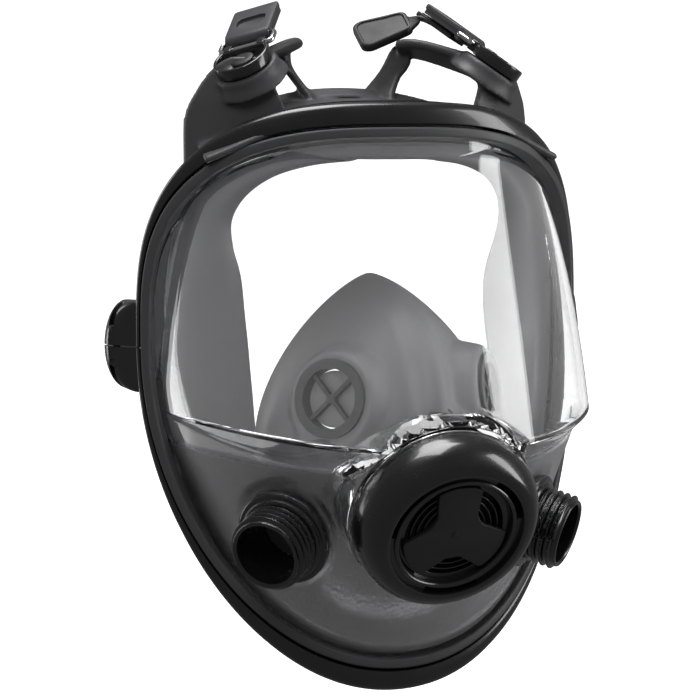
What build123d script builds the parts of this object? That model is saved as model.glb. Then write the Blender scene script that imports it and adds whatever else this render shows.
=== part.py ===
from build123d import *
import math
import os

os.makedirs("parts", exist_ok=True)

# Millimetres. +Z is up, the wearer looks along -Y, the face opening is at the origin.

# Front ring: an egg outline in the XZ plane laid on a bent surface that is a
# cylinder about a vertical axis.
RING_HALF_WIDTH = 91.2
RING_TOP = 89.0
RING_BOTTOM = 131.0
RING_WIDEST_Z = 6.0
RING_TOP_POWER = 3.1
RING_BOTTOM_POWER = 2.08
RING_BEND_R = 118.0
RING_FRONT_Y = -89.0
FRAME_SIDE_SHARE = 0.22
RIB_SIDE_SHARE = 0.75
FRAME_WIDTH = 8.5
FRAME_SKIN = 1.8
FRAME_FRONT = 3.0
FRAME_DEPTH = 10.5
FRAME_BACK = 2.0
SPLIT_Z = 4.0
SPLIT_GAP = 0.5
LUG_X = 89.0
LUG_HALF_WIDTH = 10.0
LUG_HALF_HEIGHT = 17.0

# Lens
LENS_WALL = 2.5
LENS_EDGE = -15.0
LENS_RIM_OUT = -9.5
LENS_LAND = 4.0
LEDGE_Z = -25.0
BUBBLE_Y = -56.0
UPPER_LOW = (84.3, 81.4)
UPPER_TOP = (62.3, 20.5)
UPPER_TOP_Z = 90.0
UPPER_STEPS = 4
LOWER_HIGH = (83.0, 68.0)
LOWER_FOOT = (50.0, 36.0)
LOWER_FOOT_Z = -115.0

# Face seal
RIB_INNER = -13.1
RIB_OUTER = -9.3
RIB_PROUD = 1.2
FACE_BEND_R = 95.0
FACE_FRONT_Y = -74.0
SEAL_SKIN = 3.0
SEAL_HALF_WIDTH = 79.0
SEAL_TOP = 90.0
SEAL_BOTTOM = 125.0
OPENING_SIDE = [(30, 71), (46, 65), (54, 54), (53, 42), (50, 28), (49, 10),
                (49, -10), (48, -32), (44, -56), (35, -78), (20, -93)]
OPENING_TOP_Z = 73.0
OPENING_FOOT_Z = -98.0
EAR_X = 50.0
EAR_Y = -56.0
EAR_Z = 108.0
LOW_EAR_X = 56.0
LOW_EAR_Y = -22.0
LOW_EAR_Z = -66.0
PAD_R = 12.5
PAD_THICK = 5.0

# Exhalation valve
VALVE_AT = (0.0, -124.3, -50.1)
VALVE_PITCH = 26.0
BOSS_R = 35.2
VALVE_HOLE_R = 25.6
TUBE_R = 25.5
TUBE_BORE_R = 22.0
VALVE_FLANGE_R = 30.8
CAP_R = 34.3
CAP_HEIGHT = 17.0
GRILLE_R = 22.5
GRILLE_HEIGHT = 14.4

# Filter connectors
CONNECTOR_AT = (48.2, -94.3, -61.5)
CONNECTOR_TURN = 47.0
CONNECTOR_PITCH = 16.0
CONNECTOR_PAD_R = 18.5
CONNECTOR_HOLE_R = 12.6
THREAD_ROOT_R = 13.2
THREAD_CREST_R = 14.6
THREAD_PITCH = 2.9
CONNECTOR_BORE_R = 11.3
SPOUT_END = 17.0

# Nose cup
CUP_CENTRE = (0.0, -52.0, -28.0)
CUP_RADII = (48.0, 58.0, 60.0)
CUP_WALL = 2.4
CUP_VALVE_AT = (30.5, -95.0, -12.5)
CUP_VALVE_TURN = 52.0
CUP_VALVE_PITCH = -8.0
CUP_SEAT_R = 14.5
CUP_SEAT_BORE_R = 11.0

# Buckles
BASE_R = 11.0
STUD_R = 2.2
WIRE_R = 1.1
LOOP_NEAR = 8.0
LOOP_FAR = 15.0
LOOP_HALF_WIDTH = 10.6
LEVER_LENGTH = 20.0
LEVER_WIDTH = 17.0
STRAP_WIDTH = 15.0
STRAP_THICK = 2.0
TAB_START = 6.0
TAB_LENGTH = 22.0
TAB_WIDTH = 17.0


def write(shape, name):
    """Write one node under its plain name."""
    shape.label = name
    export_step(shape, f"parts/{name}.step")
    print(name, round(shape.volume, 1))


def solid_of(shape):
    """Join a boolean result into one shape with clean faces."""
    if isinstance(shape, ShapeList):
        return Compound(children=list(shape))
    return shape


def egg(half_width, top, bottom, middle_z, top_power, bottom_power, count=48):
    """Face of an egg outline in the XZ plane."""
    points = []
    for step in range(count):
        angle = 2 * math.pi * (step + 0.5) / count
        across = math.sin(angle)
        upright = math.cos(angle)
        power = top_power if upright > 0 else bottom_power
        reach = top if upright > 0 else bottom
        x = half_width * math.copysign(abs(across) ** (2 / power), across)
        z = middle_z + reach * math.copysign(abs(upright) ** (2 / power), upright)
        points.append((x, 0, z))
    return make_face(Spline(*points, periodic=True))


def through(face, reach=180.0):
    """Carry an XZ face through the whole mask along Y."""
    return extrude(face, amount=reach, both=True, dir=(0, 1, 0))


def outline(offset, inset=0.0):
    """Ring outline carried along Y.

    An offset moves it by less at the sides than at the top and the chin, an
    inset moves it by the same everywhere.
    """
    frame_part = FRAME_SIDE_SHARE * max(offset, -FRAME_WIDTH)
    rib_part = RIB_SIDE_SHARE * min(offset + FRAME_WIDTH, 0)
    half_width = RING_HALF_WIDTH + frame_part + rib_part - inset
    return through(egg(half_width, RING_TOP + offset - inset, RING_BOTTOM + offset - inset,
                       RING_WIDEST_Z, RING_TOP_POWER, RING_BOTTOM_POWER))


def bent(front_y, bend_r, start, end):
    """Slab between two depths behind a bent surface."""
    centre = front_y + bend_r
    keep = Pos(0, centre - 200, 0) * Box(400, 400, 400)
    near = Pos(0, centre + start, 0) * Cylinder(bend_r, 400)
    if end is None:
        return keep & near
    far = Pos(0, centre + end, 0) * Cylinder(bend_r, 400)
    return (keep & near) - far


def ring_slab(start, end):
    """Slab between two depths behind the front ring surface."""
    return bent(RING_FRONT_Y, RING_BEND_R, start, end)


def face_slab(start, end):
    """Slab between two depths behind the face contact surface."""
    return bent(FACE_FRONT_Y, FACE_BEND_R, start, end)


def band(inner, outer, start, end):
    """Closed band round the ring between two offsets and two depths."""
    return (outline(outer) - outline(inner)) & ring_slab(start, end)


def aimed(at, turn, pitch, side=1):
    """Location whose local Z points forwards, turned sideways and pitched down."""
    a = math.radians(turn)
    p = math.radians(pitch)
    out = (side * math.sin(a) * math.cos(p), -math.cos(a) * math.cos(p), -math.sin(p))
    across = (math.cos(a), side * math.sin(a), 0)
    return Plane(origin=(side * at[0], at[1], at[2]), x_dir=across, z_dir=out).location


def disc(radius, low, high):
    """Disc between two heights on local Z."""
    return Pos(0, 0, (low + high) / 2) * Cylinder(radius, high - low)


def tube(outer, inner, low, high):
    """Tube between two heights on local Z."""
    return disc(outer, low, high) - disc(inner, low - 1, high + 1)


VALVE = aimed(VALVE_AT, 0, VALVE_PITCH)
CONNECTOR = aimed(CONNECTOR_AT, CONNECTOR_TURN, CONNECTOR_PITCH)
CUP_VALVE = aimed(CUP_VALVE_AT, CUP_VALVE_TURN, CUP_VALVE_PITCH)


def bubble(inset):
    """Solid under the outside of the lens, or under its inside when inset."""
    def section(radii, z):
        return Plane.XY.offset(z) * Pos(0, BUBBLE_Y) * Ellipse(radii[0] - inset, radii[1] - inset)

    upper_sections = []
    for step in range(UPPER_STEPS + 1):
        share = step / UPPER_STEPS
        half_width = UPPER_LOW[0] + (UPPER_TOP[0] - UPPER_LOW[0]) * share**2
        depth = UPPER_LOW[1] + (UPPER_TOP[1] - UPPER_LOW[1]) * share
        z = LEDGE_Z + (UPPER_TOP_Z - LEDGE_Z) * share + inset * (1 - share)
        upper_sections.append(section((half_width, depth), z))
    upper = loft(upper_sections, ruled=True)
    lower = loft([section(LOWER_HIGH, LEDGE_Z + 4), section(LOWER_FOOT, LOWER_FOOT_Z)], ruled=True)
    body = upper + lower + VALVE * disc(BOSS_R - inset, -40, -inset)
    for side in (-1, 1):
        pad = aimed(CONNECTOR_AT, CONNECTOR_TURN, CONNECTOR_PITCH, side)
        body = body + pad * disc(CONNECTOR_PAD_R - inset, -24, -inset)
        body = body - pad * disc(CONNECTOR_PAD_R + 0.2 + inset, -inset, 30)
    body = body - VALVE * disc(BOSS_R + 0.2 + inset, -inset, 40)
    body = body + ring_slab(LENS_LAND + inset, 90)
    return body & outline(LENS_EDGE, inset)


def make_lens():
    shell = (bubble(0) - bubble(LENS_WALL)) - ring_slab(LENS_LAND + LENS_WALL, None)
    rim = outline(LENS_RIM_OUT) - outline(LENS_EDGE, LENS_WALL)
    rim = rim & ring_slab(LENS_LAND, LENS_LAND + LENS_WALL)
    lens = shell + rim
    lens = lens - VALVE * disc(VALVE_HOLE_R, -30, 10)
    for side in (-1, 1):
        pad = aimed(CONNECTOR_AT, CONNECTOR_TURN, CONNECTOR_PITCH, side)
        lens = lens - pad * disc(CONNECTOR_HOLE_R, -20, 10)
    return lens


def frame_ring():
    """Whole clamping ring with its two lugs."""
    ring = outline(0) & ring_slab(0, FRAME_DEPTH)
    for side in (-1, 1):
        oval = Plane.XZ * Pos(side * LUG_X, SPLIT_Z) * Ellipse(LUG_HALF_WIDTH, LUG_HALF_HEIGHT)
        ring = ring + (through(oval) & ring_slab(0.8, FRAME_DEPTH))
    ring = ring - (outline(0, FRAME_SKIN) & ring_slab(FRAME_FRONT, FRAME_DEPTH - FRAME_BACK))
    return ring - (outline(-FRAME_WIDTH) & ring_slab(-5, FRAME_DEPTH + 5))


SCREW_X = 94.6
SCREW_Y = RING_FRONT_Y + RING_BEND_R - math.sqrt(RING_BEND_R**2 - SCREW_X**2) + 6.0


def make_frames():
    ring = frame_ring()
    for side in (-1, 1):
        at = Pos(side * SCREW_X, SCREW_Y, SPLIT_Z)
        ring = ring - at * disc(1.5, -30, 30)
        ring = ring - at * disc(2.9, 5.0, 30)
        ring = ring - at * disc(2.9, -30, -5.0)
    upper = ring & (Pos(0, 0, SPLIT_Z + SPLIT_GAP / 2 + 150) * Box(400, 400, 300))
    lower = ring & (Pos(0, 0, SPLIT_Z - SPLIT_GAP / 2 - 150) * Box(400, 400, 300))
    return upper, lower


def make_screws():
    screws = []
    nuts = []
    for side in (-1, 1):
        at = Pos(side * SCREW_X, SCREW_Y, SPLIT_Z)
        screws.append(at * (disc(1.5, -8.0, 5.0) + disc(2.7, 5.0, 7.4) - disc(0.9, 6.2, 8)))
        hexagon = extrude(RegularPolygon(2.7, 6), amount=2.4)
        nuts.append(at * (Pos(0, 0, -7.4) * hexagon - disc(1.5, -9, 0)))
    return Compound(children=screws), Compound(children=nuts)


def ear_frame(side, upper):
    """Buckle location: local Z leaves the pad, local X runs along the strap."""
    if upper:
        out = Vector(side * 0.50, -0.27, 0.82).normalized()
        run = Vector(-side * 0.446, 0.733, 0.514)
        at = Vector(side * EAR_X, EAR_Y, EAR_Z)
    else:
        out = Vector(side * 0.90, 0.20, -0.35).normalized()
        run = Vector(-side * 0.25, 0.95, 0.05)
        at = Vector(side * LOW_EAR_X, LOW_EAR_Y, LOW_EAR_Z)
    run = (run - out * run.dot(out)).normalized()
    return Plane(origin=at, x_dir=run, z_dir=out).location


EARS = {
    "upper_left": ear_frame(-1, True),
    "upper_right": ear_frame(1, True),
    "lower_left": ear_frame(-1, False),
    "lower_right": ear_frame(1, False),
}


def seal_outline(inset):
    """Outline of the seal behind the ring, carried along Y."""
    return through(egg(SEAL_HALF_WIDTH - inset, SEAL_TOP - inset, SEAL_BOTTOM - inset,
                       RING_WIDEST_Z, RING_TOP_POWER, RING_BOTTOM_POWER))


def face_opening():
    """Face of the opening that the wearer looks and breathes through."""
    right = [(x, 0, z) for x, z in OPENING_SIDE]
    left = [(-x, 0, z) for x, z in reversed(OPENING_SIDE)]
    return make_face(Spline((0, 0, OPENING_TOP_Z), *right, (0, 0, OPENING_FOOT_Z), *left, periodic=True))


def make_seal():
    back = FRAME_DEPTH - FRAME_BACK
    channel = (outline(0, FRAME_SKIN) - outline(LENS_EDGE)) & ring_slab(FRAME_FRONT, back)
    channel = channel + band(LENS_EDGE, -FRAME_WIDTH, LENS_LAND, FRAME_DEPTH)
    channel = channel + band(RIB_INNER, RIB_OUTER, -RIB_PROUD, LENS_LAND + 1)
    channel = channel - band(LENS_EDGE - 4, LENS_RIM_OUT, LENS_LAND, LENS_LAND + LENS_WALL)
    outside = seal_outline(0)
    inside = seal_outline(SEAL_SKIN)
    web = (outline(0) + outside - inside) & ring_slab(FRAME_DEPTH, FRAME_DEPTH + 3)
    opening = through(face_opening())
    wall = (outside - inside) & ring_slab(FRAME_DEPTH, None)
    wall = (wall & (Pos(0, -100, 0) * Box(400, 200, 400))) - face_slab(SEAL_SKIN, None)
    lip = (outside - opening) & face_slab(0, SEAL_SKIN)
    lip = lip - ring_slab(-40, FRAME_DEPTH)
    seal = channel + web + wall + lip
    for side in (-1, 1):
        edge = [(76, 64), (75, 88), (68, 105), (58, 116), (46, 120), (34, 119),
                (23, 114), (27, 105), (30, 98), (24, 92), (16, 89), (16, 74)]
        face = make_face(Polyline([(side * x, 0, z) for x, z in edge], close=True))
        ear = through(face) & face_slab(0, 3.5)
        ear = ear - ring_slab(-40, FRAME_DEPTH)
        seal = seal + ear
    for name, at in EARS.items():
        seal = seal + at * disc(PAD_R, -PAD_THICK, 0)
        if name.startswith("lower"):
            seal = seal + at * (Pos(-17, 0, -3.4) * Box(34, 18, 3.2))
        seal = seal - at * disc(PAD_R + 0.6, 0, 14)
        seal = seal - at * disc(6.2, -PAD_THICK - 6, -PAD_THICK)
        seal = seal - at * disc(STUD_R, -PAD_THICK - 2, 2)
    return seal


def ellipsoid(inset):
    rx, ry, rz = CUP_RADII
    ball = Sphere(1.0)
    ball = scale(ball, by=(rx - inset, ry - inset, rz - inset))
    return Pos(*CUP_CENTRE) * ball


def make_nose_cup():
    outer = ellipsoid(0)
    inner = ellipsoid(CUP_WALL)
    for side in (-1, 1):
        at = aimed(CUP_VALVE_AT, CUP_VALVE_TURN, CUP_VALVE_PITCH, side)
        outer = outer + at * disc(17.4, -10, 0.9)
        outer = outer - at * disc(17.6, 0.9, 12)
        inner = inner + at * disc(15.0, -12, -1.5)
        inner = inner - at * disc(17.4, -1.5, 12)
    cup = outer - inner
    cup = cup - Pos(0, CUP_CENTRE[1] + 100, 0) * Box(300, 200, 400)
    cup = cup - VALVE * disc(TUBE_R, -40, 20)
    for side in (-1, 1):
        at = aimed(CUP_VALVE_AT, CUP_VALVE_TURN, CUP_VALVE_PITCH, side)
        cup = cup - at * disc(12.6, -12, 12)
    return cup


def spider(outer, inner, hub, low, high, spokes, width):
    """Seat ring with a hub on straight spokes."""
    seat = tube(outer, inner, low, high) + disc(hub, low, high)
    for step in range(spokes):
        arm = Pos((hub + inner) / 2, 0, (low + high) / 2)
        arm = arm * Box(inner - hub + 1.5, width, high - low)
        seat = seat + Rot(0, 0, 360 / spokes * step + 45) * arm
    return seat


def make_cup_seat(side):
    at = aimed(CUP_VALVE_AT, CUP_VALVE_TURN, CUP_VALVE_PITCH, side)
    seat = spider(12.6, CUP_SEAT_BORE_R, 1.8, -1.5, 0.9, 4, 1.4)
    seat = seat + tube(CUP_SEAT_R, 12.0, 0.9, 2.3) + tube(CUP_SEAT_R, 12.0, -3.7, -1.5)
    seat = seat + tube(12.6, CUP_SEAT_BORE_R, -3.7, 2.3)
    return at * seat


def make_cup_flap(side):
    at = aimed(CUP_VALVE_AT, CUP_VALVE_TURN, CUP_VALVE_PITCH, side)
    return at * disc(10.4, -2.6, -1.9)


def make_connector(side):
    at = aimed(CONNECTOR_AT, CONNECTOR_TURN, CONNECTOR_PITCH, side)
    body = disc(18.0, 0.6, 3.4) + disc(THREAD_ROOT_R, 3.4, SPOUT_END) + disc(12.4, -9.0, 0.6)
    for turn in range(4):
        low = 5.2 + turn * THREAD_PITCH
        body = body + disc(THREAD_CREST_R, low, low + 1.3)
    body = body - disc(CONNECTOR_BORE_R, -20, 30)
    body = body + spider(11.8, 9.4, 1.8, -5.4, -3.8, 3, 1.3)
    return at * body


def make_connector_gasket(side):
    at = aimed(CONNECTOR_AT, CONNECTOR_TURN, CONNECTOR_PITCH, side)
    return at * tube(17.4, CONNECTOR_HOLE_R, 0, 0.6)


def make_connector_nut(side):
    at = aimed(CONNECTOR_AT, CONNECTOR_TURN, CONNECTOR_PITCH, side)
    nut = tube(14.8, 12.4, -LENS_WALL - 3.6, -LENS_WALL)
    for step in range(6):
        notch = Rot(0, 0, 60 * step) * Pos(15.0, 0, -LENS_WALL - 1.8) * Box(1.8, 3.0, 6)
        nut = nut - notch
    return at * nut


def make_inhalation_flap(side):
    at = aimed(CONNECTOR_AT, CONNECTOR_TURN, CONNECTOR_PITCH, side)
    return at * disc(10.7, -6.5, -5.8)


def make_valve_body():
    body = tube(TUBE_R, TUBE_BORE_R, -22.0, 3.4) + tube(VALVE_FLANGE_R, TUBE_BORE_R, 0.8, 3.4)
    body = body + spider(TUBE_BORE_R + 0.5, 17.5, 3.0, -1.6, 0.2, 6, 1.6)
    return VALVE * body


def make_valve_nut():
    nut = tube(29.8, TUBE_R, -LENS_WALL - 4.0, -LENS_WALL)
    for step in range(8):
        nut = nut - Rot(0, 0, 45 * step) * Pos(30, 0, -LENS_WALL - 2) * Box(2.4, 5, 6)
    return VALVE * nut


def make_cap():
    with BuildPart() as dome:
        with BuildSketch(Plane.XZ):
            with BuildLine():
                Polyline((31.3, 0.5), (CAP_R - 0.4, 0.5), (CAP_R, 1.2), (CAP_R, 5.0))
                ThreePointArc((CAP_R, 5.0), (32.4, 12.6), (27.0, CAP_HEIGHT))
                ThreePointArc((27.0, CAP_HEIGHT), (24.4, 16.4), (GRILLE_R, GRILLE_HEIGHT))
                Polyline((GRILLE_R, GRILLE_HEIGHT), (0, GRILLE_HEIGHT), (0, GRILLE_HEIGHT - 2),
                         (GRILLE_R - 1, GRILLE_HEIGHT - 2), (27.0, 13.0), (31.3, 5.0), (31.3, 0.5))
            make_face()
        revolve(axis=Axis.Z)
    cap = dome.part
    for ring in range(3):
        inner = 8.0 + ring * 4.4
        slot = tube(inner + 2.4, inner, GRILLE_HEIGHT - 3, GRILLE_HEIGHT + 1)
        for third in range(3):
            sector = Rot(0, 0, 120 * third + 34) * (Pos(20, 0, GRILLE_HEIGHT) * Box(40, 1.24 * inner, 8))
            cap = cap - (slot & sector)
    return VALVE * cap


def make_cap_plate():
    high = GRILLE_HEIGHT + 1.4
    plate = disc(8.5, GRILLE_HEIGHT, high)
    for third in range(3):
        arm = Rot(0, 0, 120 * third + 94)
        plate = plate + arm * (Pos(9, 0, GRILLE_HEIGHT + 0.7) * Box(12, 9, 1.4))
        plate = plate + arm * (Pos(14.5, 0, 0) * disc(6.6, GRILLE_HEIGHT, high))
    return VALVE * plate


def make_buckle(name):
    """Five pieces of one harness buckle in place."""
    at = EARS[name]
    base = disc(BASE_R, 0.5, 2.0) + tube(BASE_R, BASE_R - 1.6, 2.0, 5.0)
    base = base - Pos(12.5, 0, 4.4) * Box(12, 22, 4.8)
    for y in (-1, 1):
        base = base + Pos(LOOP_NEAR, y * 6.8, 2.9) * Box(4.6, 3.4, 4.8)
    near = Pos(LOOP_NEAR, 0, 3.6) * Rot(90, 0, 0)
    base = base - near * Cylinder(WIRE_R + 0.06, 40)
    base = base - disc(STUD_R + 0.06, -2, 4)
    stud = disc(STUD_R, -PAD_THICK - 0.4, 2.4) + disc(4.6, 2.4, 3.6)
    stud = stud + disc(5.5, -PAD_THICK - 1.6, -PAD_THICK)
    loop = near * Cylinder(WIRE_R, 2 * LOOP_HALF_WIDTH)
    loop = loop + Pos(LOOP_FAR, 0, 3.6) * Rot(90, 0, 0) * Cylinder(WIRE_R, 2 * LOOP_HALF_WIDTH)
    for y in (-1, 1):
        bar = Pos((LOOP_NEAR + LOOP_FAR) / 2, y * LOOP_HALF_WIDTH, 3.6) * Rot(0, 90, 0)
        loop = loop + bar * Cylinder(WIRE_R, LOOP_FAR - LOOP_NEAR)
        loop = loop + Pos(LOOP_NEAR, y * LOOP_HALF_WIDTH, 3.6) * Sphere(WIRE_R)
        loop = loop + Pos(LOOP_FAR, y * LOOP_HALF_WIDTH, 3.6) * Sphere(WIRE_R)
    far = Pos(LOOP_FAR, 0, 3.6) * Rot(90, 0, 0)
    lever = far * Cylinder(2.6, LEVER_WIDTH)
    lever = lever + Pos(LOOP_FAR + LEVER_LENGTH / 2, 0, 5.4) * Box(LEVER_LENGTH, LEVER_WIDTH, 1.6)
    for y in (-1, 1):
        cheek = Pos(LOOP_FAR + LEVER_LENGTH / 2, y * (LEVER_WIDTH / 2 - 0.8), 3.9)
        lever = lever + cheek * Box(LEVER_LENGTH, 1.6, 3.2)
    lever = lever - far * Cylinder(WIRE_R + 0.06, 60)
    lever = lever - Pos(LOOP_FAR + 10, 0, 6.2) * Box(9, 11, 1.0)
    pin = Pos(LOOP_FAR + 12, 0, 3.4) * Rot(90, 0, 0) * Cylinder(0.9, LEVER_WIDTH)
    lever = lever - pin
    return at * base, at * stud, at * loop, at * lever, at * pin


def make_short_strap(name):
    """Strap end held under the lever."""
    start = LOOP_FAR + 5
    return EARS[name] * (Pos(start + 10.5, 0, 0.6) * Box(21, STRAP_WIDTH - 3, STRAP_THICK))


def make_pull_strap(name):
    """Strap end that folds over into its pull tab."""
    at = EARS[name]
    start = LOOP_FAR + 5
    strap = at * (Pos(start + 9, 0, 0.6) * Box(18, STRAP_WIDTH - 3, STRAP_THICK))
    elbow = (at * Pos(start + 18, 0, 0.6)).position
    run = Vector(-0.90, 0.22, -0.30).normalized()
    flat = Vector(-0.30, 0.10, 0.95)
    flat = (flat - run * flat.dot(run)).normalized()
    fold = Plane(origin=elbow, x_dir=run, z_dir=flat).location
    neck = fold * (Pos(4, 0, 0) * Box(14, STRAP_WIDTH - 4, STRAP_THICK))
    tab = fold * (Pos(TAB_START + TAB_LENGTH / 2, 0, 0) * Box(TAB_LENGTH, TAB_WIDTH, 4))
    return strap + neck + tab


write(solid_of(make_lens()), "lens")
write(solid_of(make_seal()), "face_seal")
frame_upper, frame_lower = make_frames()
write(solid_of(frame_upper), "frame_upper")
write(solid_of(frame_lower), "frame_lower")
frame_screws, frame_nuts = make_screws()
write(frame_screws, "frame_screws")
write(frame_nuts, "frame_nuts")
write(solid_of(make_nose_cup()), "nose_cup")
for side, number in (("left", -1), ("right", 1)):
    write(make_cup_seat(number), f"nose_cup_seat_{side}")
    write(make_cup_flap(number), f"nose_cup_flap_{side}")
    write(make_connector(number), f"connector_{side}")
    write(make_connector_gasket(number), f"connector_gasket_{side}")
    write(make_connector_nut(number), f"connector_nut_{side}")
    write(make_inhalation_flap(number), f"inhalation_flap_{side}")
write(make_valve_body(), "valve_body")
write(VALVE * tube(VALVE_FLANGE_R - 0.6, TUBE_R, 0, 0.8), "valve_gasket")
write(make_valve_nut(), "valve_nut")
write(VALVE * disc(19.6, 0.5, 1.4), "exhalation_flap")
write(make_cap(), "valve_cap")
write(make_cap_plate(), "cap_plate")
for name in EARS:
    base, stud, loop, lever, pin = make_buckle(name)
    write(base, f"buckle_base_{name}")
    write(stud, f"buckle_stud_{name}")
    write(loop, f"buckle_loop_{name}")
    write(lever, f"buckle_lever_{name}")
    write(pin, f"buckle_pin_{name}")
write(make_short_strap("upper_left"), "strap_upper_left")
write(make_pull_strap("upper_right"), "strap_upper_right")
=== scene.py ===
"""Looks of a full face breathing mask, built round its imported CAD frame.

Lengths in this file are millimetres in the frame of the part: +Z is up, the
front of the mask faces -Y and the face opening is at the origin. Meshes are
scaled to metres when they are made.
"""

import logging
import math
from dataclasses import dataclass
from enum import Enum
from typing import Any, Sequence

import bmesh
import bpy
import numpy as np
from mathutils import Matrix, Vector

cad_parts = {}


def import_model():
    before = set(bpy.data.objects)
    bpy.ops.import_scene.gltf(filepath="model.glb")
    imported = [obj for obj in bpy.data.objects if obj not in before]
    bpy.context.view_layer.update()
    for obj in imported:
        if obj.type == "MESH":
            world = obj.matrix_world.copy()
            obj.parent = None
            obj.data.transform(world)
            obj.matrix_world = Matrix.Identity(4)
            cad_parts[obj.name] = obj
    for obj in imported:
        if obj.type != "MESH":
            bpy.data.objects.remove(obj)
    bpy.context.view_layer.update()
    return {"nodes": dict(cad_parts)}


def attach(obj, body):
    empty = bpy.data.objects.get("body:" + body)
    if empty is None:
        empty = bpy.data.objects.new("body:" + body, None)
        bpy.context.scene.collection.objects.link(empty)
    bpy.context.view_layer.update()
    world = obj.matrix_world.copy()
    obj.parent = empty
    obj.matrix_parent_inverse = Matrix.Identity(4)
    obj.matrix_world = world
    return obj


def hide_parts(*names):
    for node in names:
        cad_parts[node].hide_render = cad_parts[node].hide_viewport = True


LOG = logging.getLogger("mask")
MM = 0.001
Points = np.ndarray


# ---------------------------------------------------------------- shader maths


class Value:
    """A shader socket that takes part in Python arithmetic."""

    def __init__(self, shader: "Shader", socket: bpy.types.NodeSocket) -> None:
        """Keep the shader that owns the socket."""
        self.shader = shader
        self.socket = socket

    def _maths(self, operation: str, first: Any, second: Any) -> "Value":
        """Add one Math node."""
        settings = {"operation": operation}
        return self.shader.node("ShaderNodeMath", settings, {0: first, 1: second})[0]

    def __add__(self, other: Any) -> "Value":
        """Sum."""
        return self._maths("ADD", self, other)

    def __radd__(self, other: Any) -> "Value":
        """Sum, reflected."""
        return self._maths("ADD", other, self)

    def __sub__(self, other: Any) -> "Value":
        """Difference."""
        return self._maths("SUBTRACT", self, other)

    def __rsub__(self, other: Any) -> "Value":
        """Difference, reflected."""
        return self._maths("SUBTRACT", other, self)

    def __mul__(self, other: Any) -> "Value":
        """Product."""
        return self._maths("MULTIPLY", self, other)

    def __rmul__(self, other: Any) -> "Value":
        """Product, reflected."""
        return self._maths("MULTIPLY", other, self)


class Shader:
    """Builds one node material."""

    def __init__(self, name: str) -> None:
        """Start an empty material with an output node."""
        self.material = bpy.data.materials.new(name)
        self.material.use_nodes = True
        self.tree = self.material.node_tree
        self.tree.nodes.clear()
        self.output = self.tree.nodes.new("ShaderNodeOutputMaterial")

    def node(self, kind: str, settings: dict[str, Any], inputs: dict[Any, Any]) -> list[Value]:
        """Add a node.

        Args:
            kind: The node's type name.
            settings: Properties that are set before any socket is used.
            inputs: Values or links, by socket index or name.

        Returns:
            The node's outputs in order.
        """
        made = self.tree.nodes.new(kind)
        for key, value in settings.items():
            if key == "stops":
                ramp = made.color_ramp.elements
                while len(ramp) < len(value):
                    ramp.new(0.5)
                for stop, (place, colour) in zip(ramp, value):
                    stop.position = place
                    stop.color = colour
            else:
                setattr(made, key, value)
        for key, value in inputs.items():
            if isinstance(value, Value):
                self.tree.links.new(value.socket, made.inputs[key])
            else:
                made.inputs[key].default_value = value
        return [Value(self, socket) for socket in made.outputs]

    def coordinates(self) -> Value:
        """Object coordinates of the piece."""
        return self.node("ShaderNodeTexCoord", {}, {})[3]

    def noise(self, scale: float, detail: float = 3.0, roughness: float = 0.5) -> Value:
        """Noise from 0 to 1 whose scale is in features a metre."""
        inputs = {"Vector": self.coordinates(), "Scale": scale, "Detail": detail}
        return self.node("ShaderNodeTexNoise", {}, {**inputs, "Roughness": roughness})[0]

    def cells(self, scale: float) -> Value:
        """Distance to the nearest of many scattered dots."""
        inputs = {"Vector": self.coordinates(), "Scale": scale}
        return self.node("ShaderNodeTexVoronoi", {"feature": "F1"}, inputs)[0]

    def remap(self, value: Value, low: float, high: float, to_low: float, to_high: float) -> Value:
        """Map a range of values to another and clamp it."""
        inputs = {0: value, 1: low, 2: high, 3: to_low, 4: to_high}
        return self.node("ShaderNodeMapRange", {"clamp": True}, inputs)[0]

    def blend(self, share: Any, first: Sequence[float], second: Sequence[float]) -> Value:
        """Mix two colours."""
        outputs = self.node(
            "ShaderNodeMix", {"data_type": "RGBA"}, {0: share, 6: (*first, 1), 7: (*second, 1)}
        )
        return outputs[2]

    def bump(self, height: Value, depth: float) -> Value:
        """Normal from a height, whose depth is in millimetres."""
        inputs = {"Height": height, "Distance": depth * MM, "Strength": 1.0}
        return self.node("ShaderNodeBump", {}, inputs)[0]

    def finish(self, surface: Value) -> bpy.types.Material:
        """Join the surface to the output."""
        self.tree.links.new(surface.socket, self.output.inputs["Surface"])
        return self.material


@dataclass(frozen=True)
class Moulded:
    """An opaque moulded plastic or rubber."""

    name: str
    colour: tuple[float, float, float]
    roughness: float
    grain: float = 900.0
    grain_depth: float = 0.02
    mottle: float = 0.12
    coat: float = 0.0
    specular: float = 0.5

    def material(self) -> bpy.types.Material:
        """Build the node material."""
        shader = Shader(self.name)
        cloudy = shader.noise(22.0, 4.0)
        fine = shader.noise(self.grain, 2.0)
        low = tuple(c * (1 - self.mottle) for c in self.colour)
        high = tuple(c * (1 + self.mottle) for c in self.colour)
        smudge = shader.remap(shader.noise(60.0, 5.0), 0.35, 0.7, -0.05, 0.07)
        inputs = {
            "Base Color": shader.blend(cloudy, low, high),
            "Roughness": smudge + (self.roughness + fine * 0.04),
            "Normal": shader.bump(fine, self.grain_depth),
            "Coat Weight": self.coat,
            "Coat Roughness": 0.08,
            "Specular IOR Level": self.specular,
        }
        return shader.finish(shader.node("ShaderNodeBsdfPrincipled", {}, inputs)[0])


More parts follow.
